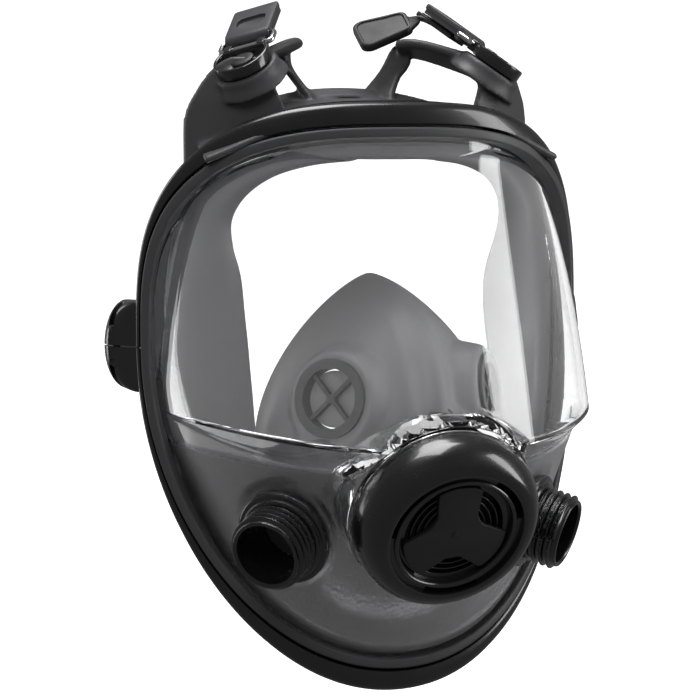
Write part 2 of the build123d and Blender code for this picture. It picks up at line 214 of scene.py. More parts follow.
@dataclass(frozen=True)
class Metal:
    """A plated or plain metal."""

    name: str
    colour: tuple[float, float, float]
    roughness: float

    def material(self) -> bpy.types.Material:
        """Build the node material."""
        shader = Shader(self.name)
        fine = shader.noise(1400.0, 3.0)
        tarnish = shader.remap(shader.noise(150.0, 4.0), 0.4, 0.75, 0.0, 1.0)
        dull = tuple(c * 0.82 for c in self.colour)
        inputs = {
            "Base Color": shader.blend(tarnish, self.colour, dull),
            "Metallic": 1.0,
            "Roughness": tarnish * 0.08 + (self.roughness + fine * 0.05),
            "Normal": shader.bump(fine, 0.004),
        }
        return shader.finish(shader.node("ShaderNodeBsdfPrincipled", {}, inputs)[0])


@dataclass(frozen=True)
class ClearPlastic:
    """Polycarbonate that is clear where the mask attribute is 0 and stippled where it is 1."""

    name: str = "clear_polycarbonate"
    tint: tuple[float, float, float] = (0.98, 0.98, 0.985)
    frost_tint: tuple[float, float, float] = (0.25, 0.25, 0.26)
    roughness: float = 0.015
    frost_roughness: float = 0.34
    stipple: float = 650.0
    stipple_depth: float = 0.14
    index: float = 1.5

    def material(self) -> bpy.types.Material:
        """Build the node material."""
        shader = Shader(self.name)
        frost = shader.node("ShaderNodeAttribute", {"attribute_name": "frost"}, {})[2]
        dots = shader.cells(self.stipple)
        depth = shader.bump(dots * frost, self.stipple_depth)
        rough = frost * (self.frost_roughness - self.roughness) + self.roughness
        glass = shader.node(
            "ShaderNodeBsdfPrincipled",
            {},
            {
                "Base Color": shader.blend(frost, self.tint, self.frost_tint),
                "Roughness": rough,
                "IOR": self.index,
                "Transmission Weight": 1.0,
                "Normal": depth,
            },
        )[0]
        through = shader.node("ShaderNodeBsdfTransparent", {}, {"Color": (0.8, 0.8, 0.8, 1)})[0]
        shadow = shader.node("ShaderNodeLightPath", {}, {})[1]
        mixed = shader.node("ShaderNodeMixShader", {}, {0: shadow, 1: glass, 2: through})[0]
        return shader.finish(mixed)


class Finish(Enum):
    """The finishes of the mask's pieces."""

    FRAME = Moulded("frame_gloss", (0.008, 0.008, 0.009), 0.27, 500.0, 0.006, 0.1, 0.5)
    VALVE = Moulded("valve_gloss", (0.007, 0.007, 0.008), 0.24, 500.0, 0.006, 0.1, 0.6)
    DULL = Moulded("dull_plastic", (0.014, 0.014, 0.015), 0.5, 900.0, 0.02)
    SEAL = Moulded("seal_elastomer", (0.055, 0.055, 0.058), 0.46, 1300.0, 0.02, 0.08)
    CUP = Moulded("cup_elastomer", (0.095, 0.095, 0.098), 0.48, 1300.0, 0.02, 0.07)
    FLAP = Moulded("flap_elastomer", (0.11, 0.11, 0.11), 0.42, 1100.0, 0.01, 0.06)
    GASKET = Moulded("gasket_rubber", (0.02, 0.02, 0.02), 0.6)
    LEVER = Moulded("lever_plastic", (0.05, 0.05, 0.053), 0.4, 700.0, 0.02, 0.08)
    STRAP = Moulded("strap_elastomer", (0.025, 0.025, 0.027), 0.5, 800.0, 0.03)
    CHROME = Metal("bright_chrome", (0.82, 0.82, 0.83), 0.1)
    STEEL = Metal("bright_steel", (0.6, 0.6, 0.61), 0.28)
    CLEAR = ClearPlastic()

    def material(self) -> bpy.types.Material:
        """The finish's material, made once."""
        found = bpy.data.materials.get(self.value.name)
        return found or self.value.material()


# ---------------------------------------------------------------- mesh making


class Draft:
    """Vertices and faces that are collected before they become one mesh."""

    def __init__(self) -> None:
        """Start empty."""
        self.points: list[Points] = []
        self.faces: list[tuple[int, ...]] = []
        self.frost: list[Points] = []
        self.count = 0

    def add(self, points: Points, faces: Sequence[Sequence[int]], frost: Points | None = None) -> None:
        """Add loose geometry.

        Args:
            points: Vertices, one row each.
            faces: Faces as indices into those points.
            frost: How frosted each point is, from 0 to 1.
        """
        self.points.append(np.asarray(points, float))
        self.faces.extend(tuple(int(i) + self.count for i in face) for face in faces)
        self.frost.append(np.zeros(len(points)) if frost is None else np.asarray(frost, float))
        self.count += len(points)

    def grid(
        self, grid: Points, around: bool = False, along: bool = False,
        caps: bool = False, frost: Points | None = None,
    ) -> None:
        """Add a grid of quads.

        Args:
            grid: Points as rows, columns, 3.
            around: Whether the last column joins the first.
            along: Whether the last row joins the first.
            caps: Whether the first and last rows are closed with one face each.
            frost: How frosted each point is.
        """
        rows, columns = grid.shape[:2]
        index = np.arange(rows * columns).reshape(rows, columns)
        faces: list[Sequence[int]] = []
        for row in range(rows if along else rows - 1):
            for column in range(columns if around else columns - 1):
                below = (row + 1) % rows
                right = (column + 1) % columns
                faces.append(
                    (index[row, column], index[row, right], index[below, right], index[below, column])
                )
        if caps:
            faces.append(list(index[0])[::-1])
            faces.append(list(index[-1]))
        self.add(grid.reshape(-1, 3), faces, None if frost is None else frost.reshape(-1))

    def make(
        self, name: str, finish: Finish, angle: float = 35.0, weld: float = 0.004,
        recalc: bool = True,
    ) -> bpy.types.Object:
        """Turn the draft into an object.

        Args:
            name: The piece's name.
            finish: Its finish.
            angle: Edges sharper than this many degrees stay sharp.
            weld: Points nearer than this are merged.
            recalc: Whether the faces are turned outwards.

        Returns:
            The new object.
        """
        mesh = bpy.data.meshes.new(name)
        points = np.concatenate(self.points) * MM
        mesh.from_pydata(points.tolist(), [], [list(dict.fromkeys(face)) for face in self.faces])
        layer = mesh.attributes.new("frost", "FLOAT", "POINT")
        layer.data.foreach_set("value", np.concatenate(self.frost).astype(np.float32))
        work = bmesh.new()
        work.from_mesh(mesh)
        bmesh.ops.remove_doubles(work, verts=work.verts, dist=weld * MM)
        bmesh.ops.dissolve_degenerate(work, dist=1e-7, edges=work.edges)
        if recalc:
            bmesh.ops.recalc_face_normals(work, faces=work.faces)
        work.to_mesh(mesh)
        work.free()
        made = bpy.data.objects.new(name, mesh)
        bpy.context.scene.collection.objects.link(made)
        mesh.materials.append(finish.material())
        smooth(made, angle)
        return made


def smooth(piece: bpy.types.Object, angle: float) -> None:
    """Shade a piece smooth, but keep edges sharper than an angle."""
    mesh = piece.data
    mesh.polygons.foreach_set("use_smooth", [True] * len(mesh.polygons))
    mesh.set_sharp_from_angle(angle=math.radians(angle))
    mesh.update()


def flatten(piece: bpy.types.Object, angle: float = 35.0) -> bpy.types.Object:
    """Replace a piece's mesh with its evaluated one and drop its modifiers."""
    graph = bpy.context.evaluated_depsgraph_get()
    mesh = bpy.data.meshes.new_from_object(piece.evaluated_get(graph))
    materials = list(piece.data.materials)
    piece.modifiers.clear()
    piece.data = mesh
    if not mesh.materials:
        for material in materials:
            mesh.materials.append(material)
    smooth(piece, angle)
    return piece


def rounded(corners: Sequence[Sequence[float]], radius: float | Sequence[float], steps: int = 4,
            closed: bool = True) -> Points:
    """Round the corners of a polyline.

    Args:
        corners: The corners, in two or three dimensions.
        radius: How far each rounding reaches along its edges.
        steps: Spans in each rounding.
        closed: Whether the line is a loop.

    Returns:
        The points of the rounded line.
    """
    corner = [np.asarray(c, float) for c in corners]
    count = len(corner)
    radii = [radius] * count if isinstance(radius, (int, float)) else list(radius)
    line = []
    for i, at in enumerate(corner):
        if not closed and i in (0, count - 1):
            line.append(at)
            continue
        before = corner[i - 1] - at
        after = corner[(i + 1) % count] - at
        reach = min(radii[i], 0.49 * np.linalg.norm(before), 0.49 * np.linalg.norm(after))
        start = at + before / max(np.linalg.norm(before), 1e-9) * reach
        end = at + after / max(np.linalg.norm(after), 1e-9) * reach
        if reach < 1e-6:
            line.append(at)
            continue
        for step in range(steps + 1):
            t = step / steps
            line.append(start * (1 - t) ** 2 + at * 2 * t * (1 - t) + end * t * t)
    return np.array(line)


def ease(value: Any) -> Any:
    """Smooth step from 0 to 1."""
    t = np.clip(value, 0.0, 1.0)
    return t * t * (3 - 2 * t)


def along(points: Points, count: int, closed: bool = False) -> Points:
    """Catmull-Rom curve through some points, sampled evenly in parameter."""
    points = np.asarray(points, float)
    if closed:
        padded = np.concatenate([points[-1:], points, points[:2]])
    else:
        padded = np.concatenate([2 * points[:1] - points[1:2], points, 2 * points[-1:] - points[-2:-1]])
    spans = len(padded) - 3
    t = np.linspace(0, spans, count, endpoint=not closed)
    i = np.minimum(t.astype(int), spans - 1)
    f = (t - i)[:, None]
    a, b, c, d = padded[i], padded[i + 1], padded[i + 2], padded[i + 3]
    return 0.5 * (2 * b + (c - a) * f + (2 * a - 5 * b + 4 * c - d) * f**2
                  + (3 * b - a - 3 * c + d) * f**3)


@dataclass(frozen=True)
class Place:
    """A local frame: x across, y up and z out."""

    origin: tuple[float, float, float]
    across: tuple[float, float, float]
    out: tuple[float, float, float]

    def basis(self) -> Points:
        """Rows are the local axes."""
        z = np.array(self.out, float)
        z /= np.linalg.norm(z)
        x = np.array(self.across, float)
        x -= z * (x @ z)
        x /= np.linalg.norm(x)
        return np.array([x, np.cross(z, x), z])

    def carry(self, local: Points) -> Points:
        """Local points in the frame of the part."""
        return np.asarray(local, float) @ self.basis() + np.array(self.origin)

    def measure(self, points: Points) -> Points:
        """Points of the part in local axes."""
        return (np.asarray(points, float) - np.array(self.origin)) @ self.basis().T


def aimed(at: Sequence[float], turn: float, pitch: float, side: int = 1) -> Place:
    """Local frame that faces forwards, turned sideways and pitched down.

    Args:
        at: Its origin on the right-hand side.
        turn: Degrees away from straight ahead.
        pitch: Degrees below level.
        side: 1 for the right, -1 for the left.
    """
    a = math.radians(turn)
    p = math.radians(pitch)
    out = (side * math.sin(a) * math.cos(p), -math.cos(a) * math.cos(p), -math.sin(p))
    return Place((side * at[0], at[1], at[2]), (math.cos(a), side * math.sin(a), 0.0), out)


def lathe(draft: Draft, place: Place, profile: Points, segments: int = 96, loop: bool = True) -> None:
    """Turn a profile of radius and height about a place's axis."""
    angle = np.linspace(0, 2 * math.pi, segments, endpoint=False)
    profile = np.asarray(profile, float)
    rows = []
    for turn in angle:
        x = profile[:, 0] * math.cos(turn)
        y = profile[:, 0] * math.sin(turn)
        rows.append(np.stack([x, y, profile[:, 1]], 1))
    grid = place.carry(np.array(rows).reshape(-1, 3)).reshape(segments, len(profile), 3)
    draft.grid(grid, around=loop, along=True)


def tube(draft: Draft, path: Points, radius: float, sides: int = 16, closed: bool = False) -> None:
    """Sweep a round section along a path."""
    path = np.asarray(path, float)
    if closed:
        ahead = np.roll(path, -1, 0) - np.roll(path, 1, 0)
    else:
        ahead = np.gradient(path, axis=0)
    ahead /= np.linalg.norm(ahead, axis=1)[:, None]
    normal = np.cross(ahead[0], (0.31, 0.52, 0.79))
    rings = []
    for point, way in zip(path, ahead):
        normal = normal - way * (normal @ way)
        normal /= np.linalg.norm(normal)
        side = np.cross(way, normal)
        angle = np.linspace(0, 2 * math.pi, sides, endpoint=False)[:, None]
        rings.append(point + radius * (np.cos(angle) * normal + np.sin(angle) * side))
    draft.grid(np.array(rings), around=True, along=closed, caps=not closed)


def slab(draft: Draft, place: Place, outline: Points, low: float, high: float, bevel: float = 0.4,
         steps: int = 3) -> None:
    """Flat plate with a rounded edge, from a convex outline in local x and y."""
    outline = np.asarray(outline, float)
    centre = outline.mean(0)
    inward = centre - outline
    inward /= np.linalg.norm(inward, axis=1)[:, None]
    rings = []
    for step in range(steps + 1):
        a = math.pi / 2 * step / steps
        rings.append((bevel * (1 - math.sin(a)), low + bevel * (1 - math.cos(a))))
    rings += [(inset, low + high - height) for inset, height in reversed(rings)]
    grid = [
        np.column_stack([outline + inward * inset, np.full(len(outline), height)])
        for inset, height in rings
    ]
    grid = place.carry(np.array(grid).reshape(-1, 3)).reshape(len(rings), len(outline), 3)
    draft.grid(grid, around=True, caps=True)


def box_outline(low: Sequence[float], high: Sequence[float], radius: float = 1.0) -> Points:
    """Rounded rectangle between two corners."""
    corners = [(low[0], low[1]), (high[0], low[1]), (high[0], high[1]), (low[0], high[1])]
    return rounded(corners, radius, 5)


def dress(piece: bpy.types.Object, body: str, slot: str, *nodes: str) -> bpy.types.Object:
    """Put a piece on its body and hide the CAD nodes that it stands for."""
    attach(piece, body)
    if nodes:
        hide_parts(*nodes)
    LOG.info("%s: %d faces", piece.name, len(piece.data.polygons))
    return piece


# ---------------------------------------------------------------- ring shape


@dataclass(frozen=True)
class Ring:
    """The egg outline that the frame, the seal and the lens share."""

    half_width: float = 91.2
    top: float = 89.0
    bottom: float = 131.0
    widest_z: float = 6.0
    top_power: float = 3.1
    bottom_power: float = 2.08
    bend_r: float = 118.0
    front_y: float = -89.0
    frame_width: float = 8.5
    frame_side_share: float = 0.22
    rib_side_share: float = 0.75

    def surface(self, x: Points) -> Points:
        """Y of the bent front surface."""
        return self.front_y + self.bend_r - np.sqrt(np.maximum(self.bend_r**2 - x**2, 1.0))

    def half(self, offset: Points | float) -> Points:
        """Half-width of the outline at an offset, which moves less at the sides."""
        frame_part = self.frame_side_share * np.maximum(offset, -self.frame_width)
        rib_part = self.rib_side_share * np.minimum(np.asarray(offset) + self.frame_width, 0)
        return self.half_width + frame_part + rib_part

    def outline(self, t: Points, offset: float | Points = 0.0) -> tuple[Points, Points]:
        """X and Z at an angle from the top, moved out by an offset."""
        c, s = np.cos(t), np.sin(t)
        power = np.where(c > 0, self.top_power, self.bottom_power)
        reach = np.where(c > 0, self.top, self.bottom) + offset
        x = self.half(offset) * np.sign(s) * np.abs(s) ** (2 / power)
        z = self.widest_z + reach * np.sign(c) * np.abs(c) ** (2 / power)
        return x, z

    def point(self, t: Points, offset: float | Points, depth: float | Points) -> Points:
        """Points at an offset and a depth square to the front surface."""
        x, z = self.outline(t, offset)
        lean = x / self.bend_r
        y = self.surface(x) + depth * np.sqrt(1 - lean**2)
        return np.stack([x - depth * lean, y, z], -1)

    def land(self, x: Points, depth: float) -> Points:
        """Y of the surface that lies a depth behind the front one."""
        inner = self.bend_r - depth
        return self.front_y + self.bend_r - np.sqrt(np.maximum(inner**2 - x**2, 1.0))

    def even(self, count: int, start: float = 0.0, end: float = 2 * math.pi,
             closed: bool = True) -> Points:
        """Angles that are evenly spaced along the ring."""
        t = np.linspace(start, end, 6001)
        path = self.point(t, -4.0, 0.0)
        length = np.concatenate([[0], np.cumsum(np.linalg.norm(np.diff(path, axis=0), axis=1))])
        return np.interp(np.linspace(0, length[-1], count, endpoint=not closed), length, t)

    def rim_share(self, x: Points, z: Points, offset: float) -> Points:
        """How far a point is from the middle of the ring to an offset outline, from 0 to 1."""
        up = z > self.widest_z
        power = np.where(up, self.top_power, self.bottom_power)
        reach = np.where(up, self.top, self.bottom) + offset
        total = (np.abs(x) / self.half(offset)) ** power + (np.abs(z - self.widest_z) / reach) ** power
        return total ** (1 / power)


RING = Ring()
VALVE = aimed((0.0, -124.3, -50.1), 0, 26.0)
CONNECTORS = {
    "left": aimed((48.2, -94.3, -61.5), 47.0, 16.0, -1),
    "right": aimed((48.2, -94.3, -61.5), 47.0, 16.0, 1),
}
CUP_SEATS = {
    "left": aimed((30.5, -95.0, -12.5), 52.0, -8.0, -1),
    "right": aimed((30.5, -95.0, -12.5), 52.0, -8.0, 1),
}


def drum(place: Place, radius: float, low: float, high: float, segments: int = 128) -> bpy.types.Object:
    """Plain cylinder along a place's z axis, used to cut with."""
    draft = Draft()
    angle = np.linspace(0, 2 * math.pi, segments, endpoint=False)
    circle = np.column_stack([radius * np.cos(angle), radius * np.sin(angle)])
    slab(draft, place, circle, low, high, 1e-4, 1)
    return draft.make("cutter", Finish.DULL, weld=1e-5)


def boolean(piece: bpy.types.Object, other: bpy.types.Object, operation: str) -> None:
    """Join another solid to a piece, or take it away, and remove the other."""
    modifier = piece.modifiers.new("solid", "BOOLEAN")
    modifier.operation = operation
    modifier.solver = "MANIFOLD"
    modifier.object = other
    flatten(piece)
    bpy.data.objects.remove(other)


@dataclass(frozen=True)
class Frame:
    """The clamping frame in two halves that two screws draw together."""

    section: tuple[tuple[float, float], ...] = (
        (-8.3, 3.0), (-8.3, 0.7), (-8.0, 0.15), (-7.3, 0.0), (-5.5, 0.1), (-3.4, 0.45),
        (-1.7, 1.1), (-0.6, 2.2), (-0.05, 3.8), (0.0, 5.5), (0.0, 9.7), (-0.5, 10.5),
        (-8.5, 10.5), (-8.5, 8.5), (-1.8, 8.5), (-1.8, 3.0),
    )
    split_z: float = 4.0
    gap: float = 0.5
    lug_x: float = 89.0
    lug_width: float = 9.2
    lug_back: float = -30.5
    lug_height: float = 17.0
    lug_inner: float = 86.0
    lug_rows: tuple[tuple[float, float], ...] = (
        (3.0, 0.8), (0.8, 0.8), (0.2, 1.2), (0.0, 2.2), (0.0, 9.2), (0.3, 10.2), (1.0, 10.5), (3.0, 10.5),
    )
    screw_x: float = 94.6
    screw_depth: float = 6.0
    counterbore: float = 2.9
    counterbore_from: float = 5.0
    columns: int = 1500

    def _sweep(self) -> Draft:
        """Whole ring without its lugs."""
        t = RING.even(self.columns)
        draft = Draft()
        draft.grid(np.array([RING.point(t, offset, depth) for offset, depth in self.section]),
                   around=True, along=True)
        return draft

    def _lug(self, side: int) -> bpy.types.Object:
        """Oval lug between two bent surfaces."""
        angle = np.linspace(-math.pi / 2, math.pi / 2, 60)
        rows = []
        for inset, depth in self.lug_rows:
            x = self.lug_x + (self.lug_width - inset) * np.cos(angle)
            z = self.split_z + (self.lug_height - inset) * np.sin(angle)
            x = np.append(x, [self.lug_inner, self.lug_inner])
            z = np.append(z, [z[-1], z[0]])
            y = RING.front_y + RING.bend_r - np.sqrt((RING.bend_r - depth) ** 2 - x**2)
            y = np.minimum(y, self.lug_back - 0.6 * (self.lug_rows[-1][1] - depth))
            rows.append(np.stack([side * x, y, z], -1))
        draft = Draft()
        draft.grid(np.array(rows), around=True, caps=True)
        return draft.make("lug", Finish.FRAME)

    def _half(self, upper: bool) -> bpy.types.Object:
        """One half, trimmed at the split and counterbored for the screws."""
        name = "frame_half_upper" if upper else "frame_half_lower"
        piece = self._sweep().make(name, Finish.FRAME)
        for side in (-1, 1):
            boolean(piece, self._lug(side), "UNION")
        sign = 1 if upper else -1
        work = bmesh.new()
        work.from_mesh(piece.data)
        plane = Vector((0, 0, (self.split_z + sign * self.gap / 2) * MM))
        geometry = [*work.verts, *work.edges, *work.faces]
        cut_line = bmesh.ops.bisect_plane(
            work, geom=geometry, plane_co=plane, plane_no=(0, 0, sign), clear_inner=True
        )
        edges = [e for e in cut_line["geom_cut"] if isinstance(e, bmesh.types.BMEdge)]
        bmesh.ops.triangle_fill(work, edges=edges, use_beauty=True)
        bmesh.ops.recalc_face_normals(work, faces=work.faces)
        work.to_mesh(piece.data)
        work.free()
        for side in (-1, 1):
            y = float(RING.surface(np.array(self.screw_x))) + self.screw_depth
            place = Place((side * self.screw_x, y, self.split_z), (1, 0, 0), (0, 0, sign))
            boolean(piece, drum(place, self.counterbore, self.counterbore_from, 30, 48), "DIFFERENCE")
            boolean(piece, drum(place, 1.5, -1, 30, 32), "DIFFERENCE")
        return piece

    def build(self) -> None:
        """Make both halves."""
        dress(self._half(True), "mask", "frame_black", "frame_upper")
        dress(self._half(False), "mask", "frame_black", "frame_lower")


@dataclass(frozen=True)
class Lens:
    """The one-piece visor with its ledge, its valve boss and its connector pads."""

    edge: float = -15.0
    rim_out: float = -9.5
    land: float = 4.0
    wall: float = 2.5
    bubble_y: float = -56.0
    ledge_middle: float = -28.0
    ledge_rise: float = 8.5
    ledge_half: float = 82.0
    step_drop: float = 10.0
    columns: int = 260
    upper_rows: int = 90
    lower_rows: int = 70
    corner: float = 3.0
    boss_r: float = 35.2
    fairing_r: float = 40.5
    boss_side: float = 21.0
    boss_reach: tuple[float, float] = (12.5, 11.0)
    hole_r: float = 25.6
    pad_r: float = 18.5
    pad_blend: float = 24.0
    pad_hole_r: float = 12.6
    step_profile: tuple[tuple[float, float], ...] = (
        (0.0, 0.0), (0.03, 0.02), (0.07, 0.07), (0.13, 0.15), (0.22, 0.27), (0.45, 0.53),
        (0.66, 0.76), (0.78, 0.87), (0.88, 0.94), (0.95, 0.98), (1.0, 1.0),
    )

    def ledge(self, x: Points) -> Points:
        """Z of the ledge's upper edge."""
        return self.ledge_middle + self.ledge_rise * (x / self.ledge_half) ** 2

    def _upper(self, x: Points, z: Points) -> Points:
        """Y of the visor above the ledge."""
        q = (z + 28.0) / 99.0
        half = 84.3 - 15.5 * q**2
        deep = 83.0 - 52.4 * q
        return self.bubble_y - deep * np.sqrt(np.maximum(1 - (x / half) ** 2, 0))

    def _lower(self, x: Points, z: Points) -> Points:
        """Y of the lens below the ledge."""
        share = (-21.0 - z) / 94.0
        half = 83.0 - 33.0 * share
        deep = 68.0 - 32.0 * share
        return self.bubble_y - deep * np.sqrt(np.maximum(1 - (x / half) ** 2, 0))

    def _pads(self, x: Points, z: Points, y: Points) -> Points:
        """Flatten the lens round the two connectors."""
        for place in CONNECTORS.values():
            axes = place.basis()
            origin = np.array(place.origin)
            flat = origin[1] - ((x - origin[0]) * axes[2][0] + (z - origin[2]) * axes[2][2]) / axes[2][1]
            local = place.measure(np.stack([x, flat, z], -1).reshape(-1, 3)).reshape(*x.shape, 3)
            radius = np.hypot(local[..., 0], local[..., 1])
            share = ease((self.pad_blend - radius) / (self.pad_blend - self.pad_r))
            y = y + (flat - y) * share
        return self._fairing(x, z, y)

    def _fairing(self, x: Points, z: Points, y: Points) -> Points:
        """Lead the visor up to the front edge of the valve's boss."""
        axes = VALVE.basis()
        origin = VALVE.carry([(0, 0, -0.6)])[0]
        flat = origin[1] - ((x - origin[0]) * axes[2][0] + (z - origin[2]) * axes[2][2]) / axes[2][1]
        local = VALVE.measure(np.stack([x, flat, z], -1).reshape(-1, 3)).reshape(*x.shape, 3)
        radius = np.hypot(local[..., 0], local[..., 1])
        share = ease((self.fairing_r - radius) / (self.fairing_r - self.boss_r))
        share = share * ease(local[..., 1] / (0.8 * self.boss_r))
        return y + np.minimum(flat - y, 0) * share

    def _settle(self, x: Points, z: Points, y: Points) -> Points:
        """Bring the bubble down to the land round its rim."""
        land = RING.land(x, self.land)
        share = np.clip(RING.rim_share(x, z, self.edge), 0, 1)
        inside = (1 - share) * np.maximum(np.hypot(x, z - RING.widest_z), 2 * self.corner)
        round_over = np.sqrt(np.clip(1 - (1 - np.clip(inside / self.corner, 0, 1)) ** 2, 0, 1))
        proud = np.maximum(land - y, 0)
        return land - proud * round_over

    def _sheet(self) -> Points:
        """Outside of the lens as rows and columns, from the top to the chin."""
        u = np.linspace(-1, 1, self.columns + 1)
        width = float(RING.half(self.edge))
        x = width * np.sin(np.pi * u / 2) * (1 - 1e-6)
        side = np.clip(1 - np.abs(x / width) ** RING.top_power, 0, 1)
        top = RING.widest_z + (RING.top + self.edge) * side ** (1 / RING.top_power)
        side = np.clip(1 - np.abs(x / width) ** RING.bottom_power, 0, 1)
        foot = RING.widest_z - (RING.bottom + self.edge) * side ** (1 / RING.bottom_power)
        ledge = np.clip(self.ledge(x), foot, top)
        drop = np.minimum(self.step_drop * (1 - np.abs(x / width) ** 6), (ledge - foot) * 0.5)
        rows = []
        for k in range(self.upper_rows + 1):
            z = ledge + (top - ledge) * math.cos(math.pi / 2 * k / self.upper_rows)
            y = self._upper(x, z)
            rows.append((x, y, z))
        for down, back in self.step_profile[1:]:
            z = ledge - drop * down
            y = self._upper(x, ledge) * (1 - back) + self._lower(x, z) * back
            rows.append((x, y, z))
        for k in range(1, self.lower_rows + 1):
            z = (ledge - drop) + (foot - ledge + drop) * math.sin(math.pi / 2 * k / self.lower_rows)
            rows.append((x, self._lower(x, z), z))
        grid = []
        for across, forward, up in rows:
            y = self._pads(across, up, forward)
            grid.append(np.stack([across, self._settle(across, up, y), up], -1))
        return np.array(grid)

    def _frost(self, points: Points) -> Points:
        """How stippled the lens is at some points."""
        below = self.ledge(points[:, 0]) - self.step_drop - points[:, 2]
        share = ease((below + 0.6) / 2.0)
        local = VALVE.measure(points)
        clear = (np.hypot(local[:, 0], local[:, 1]) < self.boss_r + 0.8) & (local[:, 2] > -14)
        return np.where(clear, 0.0, share)

    def build(self) -> None:
        """Make the lens."""
        grid = self._sheet()
        draft = Draft()
        draft.grid(grid)
        loop_top = grid[0]
        loop_foot = grid[-1][::-1]
        rim = np.concatenate([loop_top, loop_foot[1:-1]])
        share_x = rim[:, 0]
        out_x = share_x * float(RING.half(self.rim_out) / RING.half(self.edge))
        stretch_top = (RING.top + self.rim_out) / (RING.top + self.edge)
        stretch_foot = (RING.bottom + self.rim_out) / (RING.bottom + self.edge)
        high = rim[:, 2] - RING.widest_z
        out_z = RING.widest_z + high * np.where(high > 0, stretch_top, stretch_foot)
        outer = np.stack([out_x, RING.land(out_x, self.land), out_z], -1)
        draft.grid(np.array([rim, outer]), around=True)
        piece = draft.make("visor", Finish.CLEAR, weld=0.01)
        solid = piece.modifiers.new("wall", "SOLIDIFY")
        solid.thickness = self.wall * MM
        solid.offset = -1.0 if self._faces_forward(piece) else 1.0
        flatten(piece)
        boolean(piece, drum(VALVE, self.boss_r + 0.2, 0.0, 40), "DIFFERENCE")
        boolean(piece, drum(VALVE, self.boss_r - self.wall, -40, -self.wall), "DIFFERENCE")
        ring = Draft()
        profile = rounded([(self.hole_r, 0.0), (self.boss_r, 0.0), (self.boss_r, -12.0),
                           (self.boss_r - self.wall, -12.0), (self.boss_r - self.wall, -self.wall),
                           (self.hole_r, -self.wall)], 0.4, 2)
        lathe(ring, VALVE, profile, 160)
        local = VALVE.measure(ring.points[-1])
        rise = local[:, 1] / self.boss_r
        above, below = self.boss_reach
        share = np.where(rise > 0, above, below) * np.abs(rise) ** 1.5
        end = local[:, 2] < -8
        local[end, 2] = (share - self.boss_side)[end]
        ring.points[-1] = VALVE.carry(local)
        boolean(piece, ring.make("cutter", Finish.CLEAR), "UNION")
        boolean(piece, drum(VALVE, self.hole_r, -40, 40), "DIFFERENCE")
        for place in CONNECTORS.values():
            boolean(piece, drum(place, self.pad_hole_r, -20, 20), "DIFFERENCE")
        self._paint(piece)
        smooth(piece, 28)
        dress(piece, "mask", "clear_lens", "lens")

    @staticmethod
    def _faces_forward(piece: bpy.types.Object) -> bool:
        """Whether most of the sheet's normals point to the front."""
        return sum(face.normal.y * face.area for face in piece.data.polygons) < 0

    def _paint(self, piece: bpy.types.Object) -> None:
        """Store the frost attribute."""
        mesh = piece.data
        points = np.empty(len(mesh.vertices) * 3)
        mesh.vertices.foreach_get("co", points)
        frost = self._frost(points.reshape(-1, 3) / MM)
        layer = mesh.attributes.get("frost") or mesh.attributes.new("frost", "FLOAT", "POINT")
        layer.data.foreach_set("value", frost.astype(np.float32))


